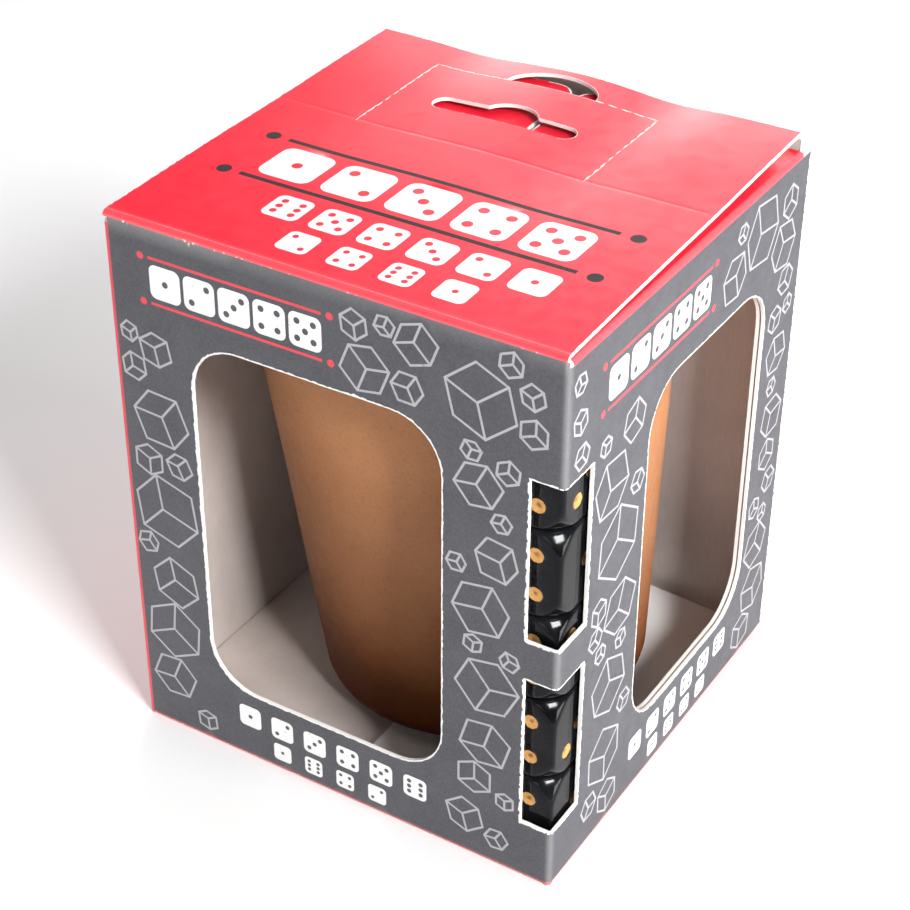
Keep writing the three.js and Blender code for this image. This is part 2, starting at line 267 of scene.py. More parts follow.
def felt(name, light, dark):
    """Matted fibres with a soft sheen."""
    g = Graph(name)
    fuzz = g.noise(2600, 5, 0.75)
    colour = g.blend(g.span(fuzz, 0.35, 0.7), dark, light)
    normal = g.bump(g.noise(900, 5, 0.7), 0.8, 0.0004)
    return g.finish(Base_Color=colour, Roughness=0.96, Normal=normal, Sheen_Weight=0.5, Sheen_Roughness=0.5)


def moulded_former(name):
    """Dark moulded board with a grainy face."""
    g = Graph(name)
    colour = g.blend(g.noise(600, 4), rgb(0.03, 0.026, 0.022), rgb(0.05, 0.043, 0.036))
    return g.finish(Base_Color=colour, Roughness=0.7, Normal=g.bump(g.noise(1400, 4), 0.3, 0.0001))


def waxed_thread(name):
    """Pale thread with its strands showing as bands."""
    g = Graph(name)
    wave = g.add("ShaderNodeTexWave", {"Vector": g.place, "Scale": 900.0, "Distortion": 3.0}).outputs["Fac"]
    colour = g.blend(wave, rgb(0.5, 0.36, 0.2), rgb(0.72, 0.56, 0.36))
    return g.finish(Base_Color=colour, Roughness=0.6, Normal=g.bump(wave, 0.5, 0.0001))


def polished_die(name):
    """Black resin with a clear polish; each pip is a dish of gold paint whose middle is darkened with
    painted shade.
    """
    g = Graph(name)
    away = g.attribute("pip")
    edge = g.calculate("ADD", away, g.span(g.noise(2500, 3), 0.3, 0.7, -0.06, 0.06))
    in_pip = g.span(edge, 1.32, 1.24)
    gold = g.blend(g.span(g.noise(1800, 4, 0.7), 0.3, 0.75), rgb(0.62, 0.33, 0.10), rgb(0.82, 0.50, 0.20))
    # Painted shade: the gold darkens towards each pip's middle, standing in for the shade inside the dish.
    middle = g.span(g.calculate("ADD", away, g.span(g.noise(1500, 3), 0, 1, -0.4, 0.4)), 0.6, 0.2)
    gold = g.blend(g.calculate("MULTIPLY", middle, 0.75), gold, rgb(0.16, 0.06, 0.015))
    clouds = g.span(g.noise(160, 5, 0.6), 0.4, 0.75)
    swirl = g.blend(clouds, rgb(0.003, 0.003, 0.004), rgb(0.011, 0.012, 0.014))
    colour = g.blend(in_pip, swirl, gold)
    polish = g.span(g.noise(500, 3), 0.3, 0.7, 0.07, 0.13)
    roughness = g.blend(in_pip, polish, rgb(0.42, 0.42, 0.42))
    metal = g.calculate("MULTIPLY", in_pip, 0.55)
    scratches = g.bump(g.noise(900, 4, 0.7), 0.05, 0.00003)
    return g.finish(
        Base_Color=colour, Roughness=roughness, Metallic=metal, Normal=scratches, Specular_IOR_Level=0.14
    )


def pale_surface(name):
    """The plain, slightly uneven studio floor."""
    g = Graph(name)
    colour = g.blend(g.noise(20, 3), rgb(0.81, 0.81, 0.81), rgb(0.84, 0.84, 0.84))
    return g.finish(Base_Color=colour, Roughness=0.6)


RED_INK = rgb(0.86, 0.02, 0.045)
RED = printed_board("red_print", RED_INK, rgb(0.8, 0.012, 0.035), 0.33, speckle=0.05, shine=0.4)
CHARCOAL = printed_board(
    "charcoal_print", rgb(0.066, 0.066, 0.077), rgb(0.05, 0.05, 0.059), 0.42, foot_ink=RED_INK, speckle=0.35
)
BARE = bare_board("bare_board", rgb(0.6, 0.525, 0.49), rgb(0.53, 0.46, 0.425))
# Painted light: a lighter copy of the bare board, for the inside of the right bottom flap, where more light
# falls.
BARE_PAINTED_LIGHT = bare_board("bare_board_painted_light", rgb(0.85, 0.83, 0.81), rgb(0.78, 0.76, 0.74))
CUT_EDGE = bare_board("cut_edge", rgb(0.86, 0.85, 0.83), rgb(0.78, 0.76, 0.74), 0.95)
LINE_INK = flat_ink("line_art_ink", rgb(0.42, 0.41, 0.43), rgb(0.1, 0.1, 0.11))
WHITE_INK = flat_ink("white_ink", rgb(0.88, 0.88, 0.87), rgb(0.5, 0.4, 0.4))
DARK_INK = flat_ink("dark_ink", rgb(0.03, 0.02, 0.022), rgb(0.3, 0.02, 0.03), 0.6, 0.12)
RED_ART_INK = flat_ink("red_art_ink", rgb(0.75, 0.06, 0.08), rgb(0.2, 0.1, 0.1))
LEATHER_TAN = cup_leather("cup_leather")
FELT_DARK = felt("cup_felt", rgb(0.05, 0.045, 0.045), rgb(0.016, 0.014, 0.015))
FORMER = moulded_former("cup_former")
THREAD = waxed_thread("waxed_thread")
DIE_BLACK = polished_die("die_black")

RED_BOARD = [RED, BARE, CUT_EDGE, LINE_INK, WHITE_INK, DARK_INK]
CHARCOAL_BOARD = [CHARCOAL, BARE, CUT_EDGE, LINE_INK, WHITE_INK, RED_ART_INK]
PLAIN_BOARD = [BARE, BARE, CUT_EDGE]
RED_PAINTED_LIGHT_BOARD = [RED, BARE_PAINTED_LIGHT, CUT_EDGE]


# ---------------------------------------------------------------- meshes

def make_object(name, points, faces, materials, indices=None, attributes=None, sharp=30):
    """A mesh object from points in millimetres, its faces turned out and its edges sharp past an angle."""
    mesh = bpy.data.meshes.new(name)
    mesh.from_pydata([tuple(p) for p in to_frame(points)], [], faces)
    for material in materials:
        mesh.materials.append(material)
    if indices is not None:
        mesh.polygons.foreach_set("material_index", indices)
    for key, values in (attributes or {}).items():
        mesh.attributes.new(key, "FLOAT", "POINT").data.foreach_set("value", np.asarray(values, np.float32))
    bm = bmesh.new()
    bm.from_mesh(mesh)
    bmesh.ops.recalc_face_normals(bm, faces=bm.faces)
    bm.to_mesh(mesh)
    bm.free()
    mesh.polygons.foreach_set("use_smooth", [True] * len(mesh.polygons))
    mesh.set_sharp_from_angle(angle=math.radians(sharp))
    piece = bpy.data.objects.new(name, mesh)
    bpy.context.scene.collection.objects.link(piece)
    return piece


def inside(points, loops):
    """Which points lie inside an odd number of the closed loops."""
    crossings = np.zeros(len(points), int)
    for loop in loops:
        start, end = loop, np.roll(loop, -1, axis=0)
        low, high = loop.min(0), loop.max(0)
        near = (points[:, 0] <= high[0]) & (points[:, 1] >= low[1]) & (points[:, 1] <= high[1])
        across, up = points[near][:, :1], points[near][:, 1:]
        if not len(up):
            continue
        spans = (start[:, 1] > up) != (end[:, 1] > up)
        rise = np.where(end[:, 1] == start[:, 1], 1.0, end[:, 1] - start[:, 1])
        meets = start[:, 0] + (up - start[:, 1]) * (end[:, 0] - start[:, 0]) / rise
        crossings[near] += (spans & (across < meets)).sum(1)
    return crossings % 2 == 1


def follow_grid(outline, us, vs, is_fixed, step=0.6):
    """The outline with a point at every grid line it crosses on its folds and ends, and dense elsewhere."""
    outline, us, vs = np.asarray(outline, float), np.asarray(us), np.asarray(vs)
    ends = outline[:, 1].min(), outline[:, 1].max()
    close = us[:-1][np.diff(us) < 0.3]
    points = []
    for start, end in zip(outline, np.roll(outline, -1, axis=0)):
        middle, way = (start + end) / 2, end - start
        fixed = is_fixed(middle[:1], middle[1:])[0]
        length = np.linalg.norm(way)
        upright, level = np.abs(way) < 1e-6
        count = math.ceil(length / step)
        even = np.arange(count) / count
        if level and (fixed or min(abs(start[1] - e) for e in ends) < 1e-6):
            shares = (us - start[0]) / way[0]
        elif upright and fixed:
            shares = (vs - start[1]) / way[1]
        elif level and length > 4:
            places = start[0] + way[0] * np.arange(count) / count
            clear = (np.abs(places[:, None] - close) > 0.4).all(1)
            shares = np.concatenate([(close - start[0]) / way[0], even[clear]])
        else:
            shares = even
        shares = {round(s, 6) for s in shares if 0.05 < s * length and (1 - s) * length > 0.05} | {0.0}
        points += [start + way * s for s in sorted(shares)]
    return np.array(points)


def roughened(points, fixed, amount):
    """Cut edges wander a little; points on a fold or a seam stay where they are."""
    moved = points.copy()
    for i, (u, v) in enumerate(points):
        if not fixed[i]:
            wander = noise.noise_vector(Vector((u * 1.3, v * 1.3, 4.0)))
            moved[i] += amount * np.array([wander.x, wander.y])
    return moved


def inner_ring(points, loops, distance, wanted):
    """Points `distance` inside the sheet beside a loop's wanted ones, which end the white band on a cut."""
    tangent = np.roll(points, -1, axis=0) - np.roll(points, 1, axis=0)
    tangent /= np.maximum(np.linalg.norm(tangent, axis=1, keepdims=True), 1e-9)
    normal = np.column_stack([-tangent[:, 1], tangent[:, 0]])
    points, normal = points[wanted], normal[wanted]
    ring = np.vstack([points + normal * distance, points - normal * distance])
    return ring[inside(ring, loops)] if len(ring) else ring


def triangulate(loops, extra, art):
    """Triangles of the sheet between its loops, split along the art's outlines."""
    points, edges = [], []
    for loop in loops + [line for _, outer, holes in art for line in (outer, *holes)]:
        first = len(points)
        points += [Vector(p) for p in loop]
        edges += [(first + k, first + (k + 1) % len(loop)) for k in range(len(loop))]
    points += [Vector(p) for p in extra]
    made = delaunay_2d_cdt(points, edges, [], 0, 1e-4)
    flat = np.array([tuple(p) for p in made[0]])
    triangles = np.array([f for f in made[2] if len(f) == 3])
    triangles = triangles[inside(flat[triangles].mean(1), loops)]
    used, numbers = np.unique(triangles, return_inverse=True)
    return flat[used], numbers.reshape(-1, 3)


def sheet(name, outlines, place, us, vs, materials, art=(), is_fixed=None, ragged=0.07, band=0.6):
    """A piece of board: outlines in the sheet's own (u, v), stood up by `place`, printed on its outside.

    `place` gives each point's middle, the outward normal and how much of a fold it is. Art is a list of
    (material index, outer loop, hole loops). The white band along cuts is kept off points that is_fixed
    marks, which lie on folds and seams.
    """
    is_fixed = is_fixed or (lambda u, v: np.zeros(len(u), bool))
    loops, rings = [], []
    for outline in outlines:
        loop = follow_grid(outline, us, vs, is_fixed)
        loops.append(roughened(loop, is_fixed(loop[:, 0], loop[:, 1]), ragged))
    for loop in loops:
        free = ~is_fixed(loop[:, 0], loop[:, 1])
        near_cut = np.any([np.roll(free, k) for k in range(-3, 4)], axis=0)
        rings.append(inner_ring(loop, loops, band, near_cut))
    grid = np.array([(u, v) for u in us for v in vs])
    grid = grid[inside(grid, loops)]
    flat, triangles = triangulate(loops, np.vstack([grid] + rings), list(art))
    centres = flat[triangles].mean(1)
    print_index = np.full(len(triangles), PRINT)
    for index, outer, holes in art:
        print_index[inside(centres, [outer]) & ~inside(centres, holes)] = index
    middle, normal, fold = place(flat[:, 0], flat[:, 1])
    count = len(flat)
    points = np.vstack([middle + normal * HALF, middle - normal * HALF])
    directed = {(a, b) for tri in triangles.tolist() for a, b in zip(tri, tri[1:] + tri[:1])}
    rim = [(a, b) for a, b in directed if (b, a) not in directed]
    rim.sort()
    faces = triangles.tolist()
    faces += (triangles[:, ::-1] + count).tolist()
    faces += [(a, a + count, b + count, b) for a, b in rim]
    indices = np.concatenate([print_index, np.full(len(triangles), INSIDE), np.full(len(rim), CUT)])
    on_rim = np.zeros(count)
    on_rim[[a for edge in rim for a in edge]] = 1.0
    on_rim[is_fixed(flat[:, 0], flat[:, 1])] = 0.0
    attributes = {"cut": np.tile(on_rim, 2), "fold": np.tile(fold, 2)}
    return make_object(name, points, faces, materials, indices, attributes)


def rounded_rectangle(u0, u1, v0, v1, radius, steps=10):
    left, right, low, high = u0 + radius, u1 - radius, v0 + radius, v1 - radius
    points = []
    for quarter, (u, v) in enumerate(((right, high), (left, high), (left, low), (right, low))):
        for k in range(steps + 1):
            angle = (quarter + k / steps) * math.pi / 2
            points.append((u + radius * math.cos(angle), v + radius * math.sin(angle)))
    return np.array(points)


def circle(u, v, radius, steps=20):
    angles = np.linspace(0, 2 * math.pi, steps, endpoint=False)
    return np.column_stack([u + radius * np.cos(angles), v + radius * np.sin(angles)])


def around(radius, angle, height):
    """A point at this radius about the cup's axis."""
    return np.array([radius * math.cos(angle), radius * math.sin(angle), height])


def between_rings(rings, count):
    """The faces that join each ring of `count` points to the next; a ring may be one point."""
    faces = []
    for low, high in zip(rings, rings[1:]):
        for k in range(count):
            n = (k + 1) % count
            corners = [low[k % len(low)], low[n % len(low)], high[n % len(high)], high[k % len(high)]]
            faces.append(list(dict.fromkeys(corners)))
    return faces


def lathe(name, profile, materials, sway=None, segments=128, sharp=35):
    """A turned piece of the cup. The profile is (radius, height) in the cup's own frame."""
    points, rings = [], []
    for radius, height in profile:
        count = segments if radius > 1e-6 else 1
        rings.append(range(len(points), len(points) + count))
        for k in range(count):
            angle = 2 * math.pi * k / segments
            points.append(around(radius + (sway(angle, height) if sway else 0.0), angle, height))
    if profile[0][0] > 1e-6:
        rings.append(rings[0])
    return make_object(name, cup_to_carton(points), between_rings(rings, segments), materials, sharp=sharp)


def cup_to_carton(points):
    """From the cup's own frame, z along its axis, to the carton's: it leans to the left."""
    turn = np.array(Matrix.Rotation(-CUP_LEAN, 3, "Y"))
    return np.asarray(points, float) @ turn.T + CUP_BASE


THREAD_SIDES = 8
THREAD_PROFILE = ((-1.0, 0.0), (-0.92, 0.6), (-0.6, 1.0), (0.6, 1.0), (0.92, 0.6), (1.0, 0.0))


def stitches(name, ends, radius, material):
    """Thread lying between each pair of points, as one mesh of round-ended closed rods."""
    points, faces = [], []
    for start, end in ends:
        middle, half = (start + end) / 2, (end - start) / 2
        side = np.cross(half, [0.3, 0.5, 0.81])
        side /= np.linalg.norm(side)
        other = np.cross(half, side)
        other /= np.linalg.norm(other)
        rings = []
        for along, share in THREAD_PROFILE:
            count = THREAD_SIDES if share else 1
            rings.append(range(len(points), len(points) + count))
            for k in range(count):
                angle = 2 * math.pi * k / THREAD_SIDES
                offset = radius * share * (math.cos(angle) * side + math.sin(angle) * other)
                points.append(middle + half * along + offset)
        faces += between_rings(rings, THREAD_SIDES)
    return make_object(name, cup_to_carton(points), faces, [material], sharp=80)


# ---------------------------------------------------------------- carton walls

class RoundedLine:
    """A line in plan with square corners rounded off, measured along its length.

    Its parts are straights and turns in order: (station, start, direction, turn's sign, turn's radius).
    """

    def __init__(self, corners, radii):
        corners = [np.array(c, float) for c in corners]
        self.parts, self.folds = [], []
        station, start = 0.0, corners[0]
        for before, here, after, radius in zip(corners, corners[1:], corners[2:], radii):
            come = (here - before) / np.linalg.norm(here - before)
            go = (after - here) / np.linalg.norm(after - here)
            turn = math.copysign(1.0, come[0] * go[1] - come[1] * go[0])
            entry = here - come * radius
            self.parts.append((station, start, come, 0.0, 0.0))
            station += np.linalg.norm(entry - start)
            self.parts.append((station, entry, come, turn, radius))
            self.folds.append(station + radius * math.pi / 4)
            station += radius * math.pi / 2
            start = here + go * radius
        come = (corners[-1] - start) / np.linalg.norm(corners[-1] - start)
        self.parts.append((station, start, come, 0.0, 0.0))
        self.length = station + np.linalg.norm(corners[-1] - start)

    def at(self, stations):
        """Places and directions at these stations."""
        place, direction = np.zeros((len(stations), 2)), np.zeros((len(stations), 2))
        part = np.searchsorted([p[0] for p in self.parts], stations, "right") - 1
        part = np.clip(part, 0, len(self.parts) - 1)
        for number, (begin, start, come, turn, radius) in enumerate(self.parts):
            here = part == number
            along = (stations[here] - begin)[:, None]
            side = np.array([-come[1], come[0]]) * turn
            if radius:
                angle = along / radius
                place[here] = start + side * radius * (1 - np.cos(angle)) + come * radius * np.sin(angle)
                direction[here] = come * np.cos(angle) + side * np.sin(angle)
            else:
                place[here] = start + come * along
                direction[here] = come
        return place, direction

    def station(self, straight, value):
        """The station on the numbered straight where its x or y has this value."""
        begin, start, come, _, _ = self.parts[2 * straight]
        axis = int(abs(come[1]) > 0.5)
        return begin + (value - start[axis]) / come[axis]


# The line's straights that carry a window
RIGHT, FRONT, LINER = 0, 1, 4
CHUTE_REAR_MIDDLE = CHUTE_REAR - HALF
WALLS = RoundedLine(
    [
        (WIDTH - HALF, DEPTH),
        (WIDTH - HALF, HALF),
        (HALF, HALF),
        (HALF, DEPTH - HALF),
        (LINER_MIDDLE, DEPTH - HALF),
        (LINER_MIDDLE, CHUTE_REAR_MIDDLE),
        (CHUTE_LEFT + HALF, CHUTE_REAR_MIDDLE),
        (CHUTE_LEFT + HALF, GLUE_MIDDLE),
        (GLUE_END, GLUE_MIDDLE),
    ],
    [FOLD_RADIUS, FOLD_RADIUS, FOLD_RADIUS, FOLD_RADIUS, 0.5, 2.3, 0.4],
)
FOOT_RADIUS = 0.6
WORN_LENGTH = 26  # how far the front's top fold is worn white from its left end


def stand(stations, heights):
    """A wall of the carton stood up along the line, its foot rounded under, its folds marked."""
    plan, direction = WALLS.at(stations)
    outward = np.column_stack([-direction[:, 1], direction[:, 0]])
    under = np.clip(FOOT_RADIUS - heights, 0, None) / FOOT_RADIUS
    fold = sum(np.exp(-(((stations - f) / 0.5) ** 2)) for f in WALLS.folds)
    tucked = under * np.clip(1 - fold * 1.2, 0, 1)
    plan = plan - outward * (FOOT_RADIUS * (1 - np.cos(tucked)))[:, None]
    level = heights + FOOT_RADIUS * (tucked - np.sin(tucked)) + 0.63 * HALF * np.sin(tucked)
    middle = np.column_stack([plan, level])
    normal = np.column_stack([outward * np.cos(tucked)[:, None], -np.sin(tucked)])
    low_wear = 0.5 * np.exp(-((heights / 0.5) ** 2))
    left_end = (plan[:, 1] < 1.0) & (plan[:, 0] < WORN_LENGTH)
    top_wear = np.where(left_end, 1.0, 0.55) * np.exp(-(((FRONT_TOP - heights) / 0.22) ** 2))
    return middle, normal, np.clip(0.75 * fold + low_wear + top_wear, 0, 1)


def columns(start, end, spacing=2.6):
    """Stations for a wall's inner points: spread evenly, and close together at a fold."""
    low, high = min(start, end), max(start, end)
    even = np.linspace(low, high, max(2, int((high - low) / spacing)))
    close = [f + d for f in WALLS.folds for d in np.arange(-0.9, 0.95, 0.2) if low < f + d < high]
    return np.unique(np.round(np.concatenate([even, close]), 3))


def rows(low, high, spacing=2.6):
    """Heights for a wall's inner points: spread evenly, and close together at a rounded foot."""
    even = np.linspace(low, high, int((high - low) / spacing))
    near_foot = [0.12, 0.3, 0.45, 0.6, 1.0] if low < 0.5 else []
    return np.unique(np.round(np.concatenate([even, near_foot]), 3))


def window(straight, edges):
    """A window's loop on one of the line's straights."""
    loop = rounded_rectangle(*edges, WINDOW_RADIUS)
    return np.column_stack([[WALLS.station(straight, value) for value in loop[:, 0]], loop[:, 1]])


def on_seam(*stations, top=None):
    """Marks points on a wall's folds, and on its top where a flap folds away."""
    def test(u, v):
        fixed = (v < 0.02) | (v > (np.inf if top is None else top - 0.02))
        for station in stations:
            fixed |= np.abs(u - station) < 0.02
        return fixed
    return test


# ---------------------------------------------------------------- printed art

def offset_convex(loop, distance):
    """A convex loop with every side moved out by `distance`, or in where it is negative."""
    loop = np.asarray(loop, float)
    centre = loop.mean(0)
    sides = []
    for start, end in zip(loop, np.roll(loop, -1, axis=0)):
        along = (end - start) / np.linalg.norm(end - start)
        normal = np.array([along[1], -along[0]])
        if normal @ (start - centre) < 0:
            normal = -normal
        sides.append((start + normal * distance, along))
    corners = []
    for (p, d), (q, e) in zip(sides[-1:] + sides[:-1], sides):
        t = np.linalg.solve(np.column_stack([d, -e]), q - p)[0]
        corners.append(p + d * t)
    return np.array(corners)


def hull(points):
    """The convex outline of flat points, going round once."""
    points = sorted(map(tuple, np.round(points, 9)))
    chains = []
    for run in (points, points[::-1]):
        chain = []
        for p in run:
            while len(chain) > 1:
                (ax, ay), (bx, by) = chain[-2:]
                if (bx - ax) * (p[1] - ay) - (by - ay) * (p[0] - ax) > 1e-9:
                    break
                chain.pop()
            chain.append(p)
        chains.append(chain[:-1])
    return np.array(chains[0] + chains[1])


CUBE_FACES = [(0, 1), (0, -1), (1, 1), (1, -1), (2, 1), (2, -1)]


def cube_outline(u, v, radius, rng, line=0.4):
    """Line art of a tilted cube: its silhouette less its three visible faces."""
    turn = Matrix.Rotation(rng.uniform(0, 2 * math.pi), 3, "Z")
    turn = turn @ Matrix.Rotation(rng.uniform(0.85, 1.05), 3, "X")
    turn = turn @ Matrix.Rotation(rng.uniform(0.6, 0.95), 3, "Z")
    size = radius / math.sqrt(3)
    corners = [Vector((x, y, z)) for x in (-1, 1) for y in (-1, 1) for z in (-1, 1)]
    flat = {tuple(c): np.array((turn @ c)[:2]) * size + (u, v) for c in corners}
    faces = []
    for axis, sign in CUBE_FACES:
        normal = Vector((0, 0, 0))
        normal[axis] = sign
        if (turn @ normal).z > 0.02:
            faces.append(hull([flat[tuple(c)] for c in corners if c[axis] == sign]))
    outer = offset_convex(hull(list(flat.values())), line / 2)
    return LINE_ART, outer, [offset_convex(face, -line / 2) for face in faces]


def scatter(sizes, allowed, low, high, seed, tries=900):
    """Tilted cubes of falling size, thrown at a panel wherever they clear each other and its edges."""
    rng = random.Random(seed)
    placed, art = [], []
    for size in sizes:
        for _ in range(tries):
            u, v = rng.uniform(low[0], high[0]), rng.uniform(low[1], high[1])
            clear = all(math.hypot(u - a, v - b) > 0.9 * (size + r) + 0.2 for a, b, r in placed)
            if clear and allowed(u, v, size):
                placed.append((u, v, size))
                art.append(cube_outline(u, v, size, rng))
                break
    return art


PIPS = {
    1: [(0, 0)],
    2: [(-1, 1), (1, -1)],
    3: [(-1, 1), (0, 0), (1, -1)],
    4: [(-1, 1), (1, -1), (1, 1), (-1, -1)],
    5: [(-1, 1), (1, -1), (1, 1), (-1, -1), (0, 0)],
    6: [(-1, 1), (1, -1), (1, 1), (-1, -1), (-1, 0), (1, 0)],
}


def die_icon(u, v, size, value):
    """A white die face with its pips left out."""
    half = size / 2
    outer = rounded_rectangle(u - half, u + half, v - half, v + half, size * 0.2, 5)
    holes = [circle(u + a * size * 0.25, v + b * size * 0.25, size * 0.095, 14) for a, b in PIPS[value]]
    return WHITE_ART, outer, holes


def icon_row(u0, u1, v, size, values):
    places = np.linspace(u0 + size / 2, u1 - size / 2, len(values))
    return [die_icon(u, v, size, value) for u, value in zip(places, values)]


def rule(u0, u1, v, width, index):
    """A thin rule with a round bead at each end."""
    low, high = min(u0, u1), max(u0, u1)
    along = np.linspace(low, high, int((high - low) / 1.5) + 2)
    lower, upper = (np.column_stack([along, np.full(len(along), v + d)]) for d in (-width / 2, width / 2))
    bar = np.vstack([lower, upper[::-1]])
    beads = [(index, circle(u, v, width * 1.3, 12), []) for u in (low - width * 3, high + width * 3)]
    return [(index, bar, [])] + beads


def clears_rectangle(u, v, r, first, last, low, high, margin):
    """Whether a disc stays this far outside a rectangle."""
    du = max(first - u, u - last, 0)
    dv = max(low - v, v - high, 0)
    return math.hypot(du, dv) > r + margin


CUBE_SIZES = [7.2, 6.6, 6.2, 6.0, 5.8, 5.5, 5.2, 5.0, 4.8, 4.6, 4.4, 4.2, 4.0, 3.8, 3.6, 3.4, 3.2, 3.0]
CUBE_SIZES += [2.7] * 4 + [2.3] * 6 + [1.9] * 8


def wall_art(straight, window_edges, beside, above, top, logo, title, reach, seed):
    """A panel's print: tilted cubes in what its window and its rows of die faces leave free.

    `beside` and `above` are the panel's free width beside and above the cutouts. `logo` is a clear area, its
    row's ends and level; `title` is a clear area and the ends of its upper and lower rows.
    """
    start = WALLS.station(straight, 0)
    logo_area, logo_ends, level = logo
    title_area, upper, lower = title
    areas = ((*window_edges, 0.6), (*logo_area, 0.4), (*title_area, 0.4))

    def allowed(u, v, r):
        along = start - u
        r *= 0.93
        first, last = beside if v - r < CUTOUTS[-1][1] + 0.7 else above
        on_panel = first + r < along < last - r and r + 1.4 < v < top - r - 1.0
        return on_panel and all(clears_rectangle(along, v, r, *area) for area in areas)

    def row(ends, v, size, values):
        return icon_row(start - ends[1], start - ends[0], v, size, values)

    art = scatter(CUBE_SIZES, allowed, (start - reach, 2), (start - 1, 97), seed)
    art += row(logo_ends, level, 5.9, [5, 4, 3, 2, 1])
    for v in (level + 4.0, level - 4.0):
        art += rule(start - logo_ends[0], start - logo_ends[1], v, 0.5, DARK_ART)
    return art + row(upper, 8.9, 4.5, [6, 5, 4, 3, 2, 1]) + row(lower, 3.7, 3.6, [2, 4, 6, 1])


def front_art():
    logo = ((3, 42, 83, 97), (8.5, 40.5), 90.2)
    title = ((16, 61, 1, 12), (20.5, 58.5), (27.5, 50.5))
    beside, above = (1.0, CUTOUT_ON_FRONT - 0.8), (1.0, WIDTH - 2.0)
    return wall_art(FRONT, FRONT_WINDOW, beside, above, FRONT_TOP, logo, title, 80, 11)


def right_art():
    logo = ((8, 48, 82.5, 97), (12.0, 45.0), 89.2)
    title = ((24, 66, 1, 12), (26.5, 63.5), (34.0, 56.0))
    beside, above = (CUTOUT_ON_RIGHT + 0.8, DEPTH - 0.8), (1.5, DEPTH - 0.8)
    return wall_art(RIGHT, RIGHT_WINDOW, beside, above, WALL_TOP, logo, title, 79, 23)


def lid_art():
    art = icon_row(12.5, 69.5, 27.2, 9.8, [1, 2, 3, 4, 5])
    art += rule(11.0, 71.5, 34.0, 1.0, DARK_ART) + rule(11.0, 71.5, 20.6, 1.0, DARK_ART)
    art += icon_row(21.0, 71.0, 15.0, 6.6, [6, 5, 4, 3, 2, 1])
    art += icon_row(29.0, 62.0, 7.0, 5.6, [2, 4, 6, 1])
    return art


# ---------------------------------------------------------------- carton


def settle(piece, node, body):
    """The piece rides on the body and stands for the CAD node, which is hidden."""
    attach(piece, body)
    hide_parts(node)
    return piece


def notched(seam, cut_back, top):
    """The edge on the front right fold, from bottom to top, stepping back round each cutout."""
    points = [(seam, 0.0)]
    for low, high in CUTOUTS:
        points += [(seam, low), (cut_back, low), (cut_back, high), (seam, high)]
    return points + [(seam, top)]


def wall(node, first, last, high, materials, low=0.0, holes=(), outline=None, art=(), flap_above=False):
    """One panel of the carton's wall line between two stations."""
    outline = outline or [(first, low), (last, low), (last, high), (first, high)]
    seams = [s for s in (first, last) if 0.1 < s < WALLS.length - 0.1]
    fixed = on_seam(*seams, top=high if flap_above else None)
    us, vs = columns(first, last), rows(low, high)
    piece = sheet(f"{node}_board", [outline, *holes], stand, us, vs, materials, art, fixed)
    settle(piece, node, "carton")


def build_walls():
    front_right, front_left, back_left, back_right, liner_turn, _, glue_turn = WALLS.folds
    front_left -= 0.65  # the left side's red shows round this fold
    outline = notched(front_right, WALLS.station(FRONT, CUTOUT_ON_FRONT), FRONT_TOP)
    outline += [(front_left, FRONT_TOP), (front_left, 0.0)]
    wall("front_panel", front_right, front_left, FRONT_TOP, CHARCOAL_BOARD, 0.0,
         [window(FRONT, FRONT_WINDOW)], outline, front_art(), True)
    outline = notched(front_right, WALLS.station(RIGHT, CUTOUT_ON_RIGHT), WALL_TOP)
    outline += [(0.0, WALL_TOP), (0.0, 0.0)]
    wall("right_panel", 0.0, front_right, WALL_TOP, CHARCOAL_BOARD, 0.0,
         [window(RIGHT, RIGHT_WINDOW)], outline, right_art(), True)
    wall("left_panel", front_left, back_left, WALL_TOP, RED_BOARD, flap_above=True)
    wall("back_panel", back_left, back_right, CARTON_TOP, RED_BOARD)
    liner_low = node_box("right_liner")[0][2]
    wall("right_liner", back_right, liner_turn, WALL_TOP, PLAIN_BOARD, liner_low,
         [window(LINER, RIGHT_WINDOW)])
    wall("chute_partition", liner_turn, glue_turn, WALL_TOP, PLAIN_BOARD, CHUTE_FOOT)
    wall("chute_glue_flap", glue_turn, WALLS.length, WALL_TOP, PLAIN_BOARD, CHUTE_FOOT)


def level_sheet(low_z, sign, curl=None):
    """Places a flat sheet: (u, v) are x and y, printed above for sign 1 and below for -1."""
    def place(u, v):
        lift = curl(u, v) if curl else np.zeros(len(u))
        middle = np.column_stack([u, v, low_z + HALF + lift])
        return middle, np.tile([0.0, 0.0, sign], (len(u), 1)), np.zeros(len(u))
    return place


def grid_lines(low, high, spacing=3.0):
    return np.linspace(low, high, max(2, int((high - low) / spacing) + 1))


def rectangle(u0, u1, v0, v1):
    return [(u0, v0), (u1, v0), (u1, v1), (u0, v1)]


def flat_board(name, node, outline, sign, materials, curl=None):
    """A level flap or panel of the carton's foot, where its CAD node lies."""
    low, high = node_box(node)
    us, vs = grid_lines(low[0], high[0]), grid_lines(low[1], high[1])
    piece = sheet(name, [outline], level_sheet(low[2], sign, curl), us, vs, materials)
    settle(piece, node, "carton")


def dust_flap_outline(fold, free, shoulder, slope, back, corner=4.0):
    """From the fold at x = fold out to the free edge, its front edge falling back, its back corner round."""
    sign = math.copysign(1.0, free - fold)
    length = abs(free - fold)
    points = [(fold, shoulder), (free, shoulder + slope * length)]
    for angle in np.linspace(0, math.pi / 2, 9):
        points.append((free - sign * corner * (1 - math.cos(angle)), back - corner * (1 - math.sin(angle))))
    return points + [(fold, back)]


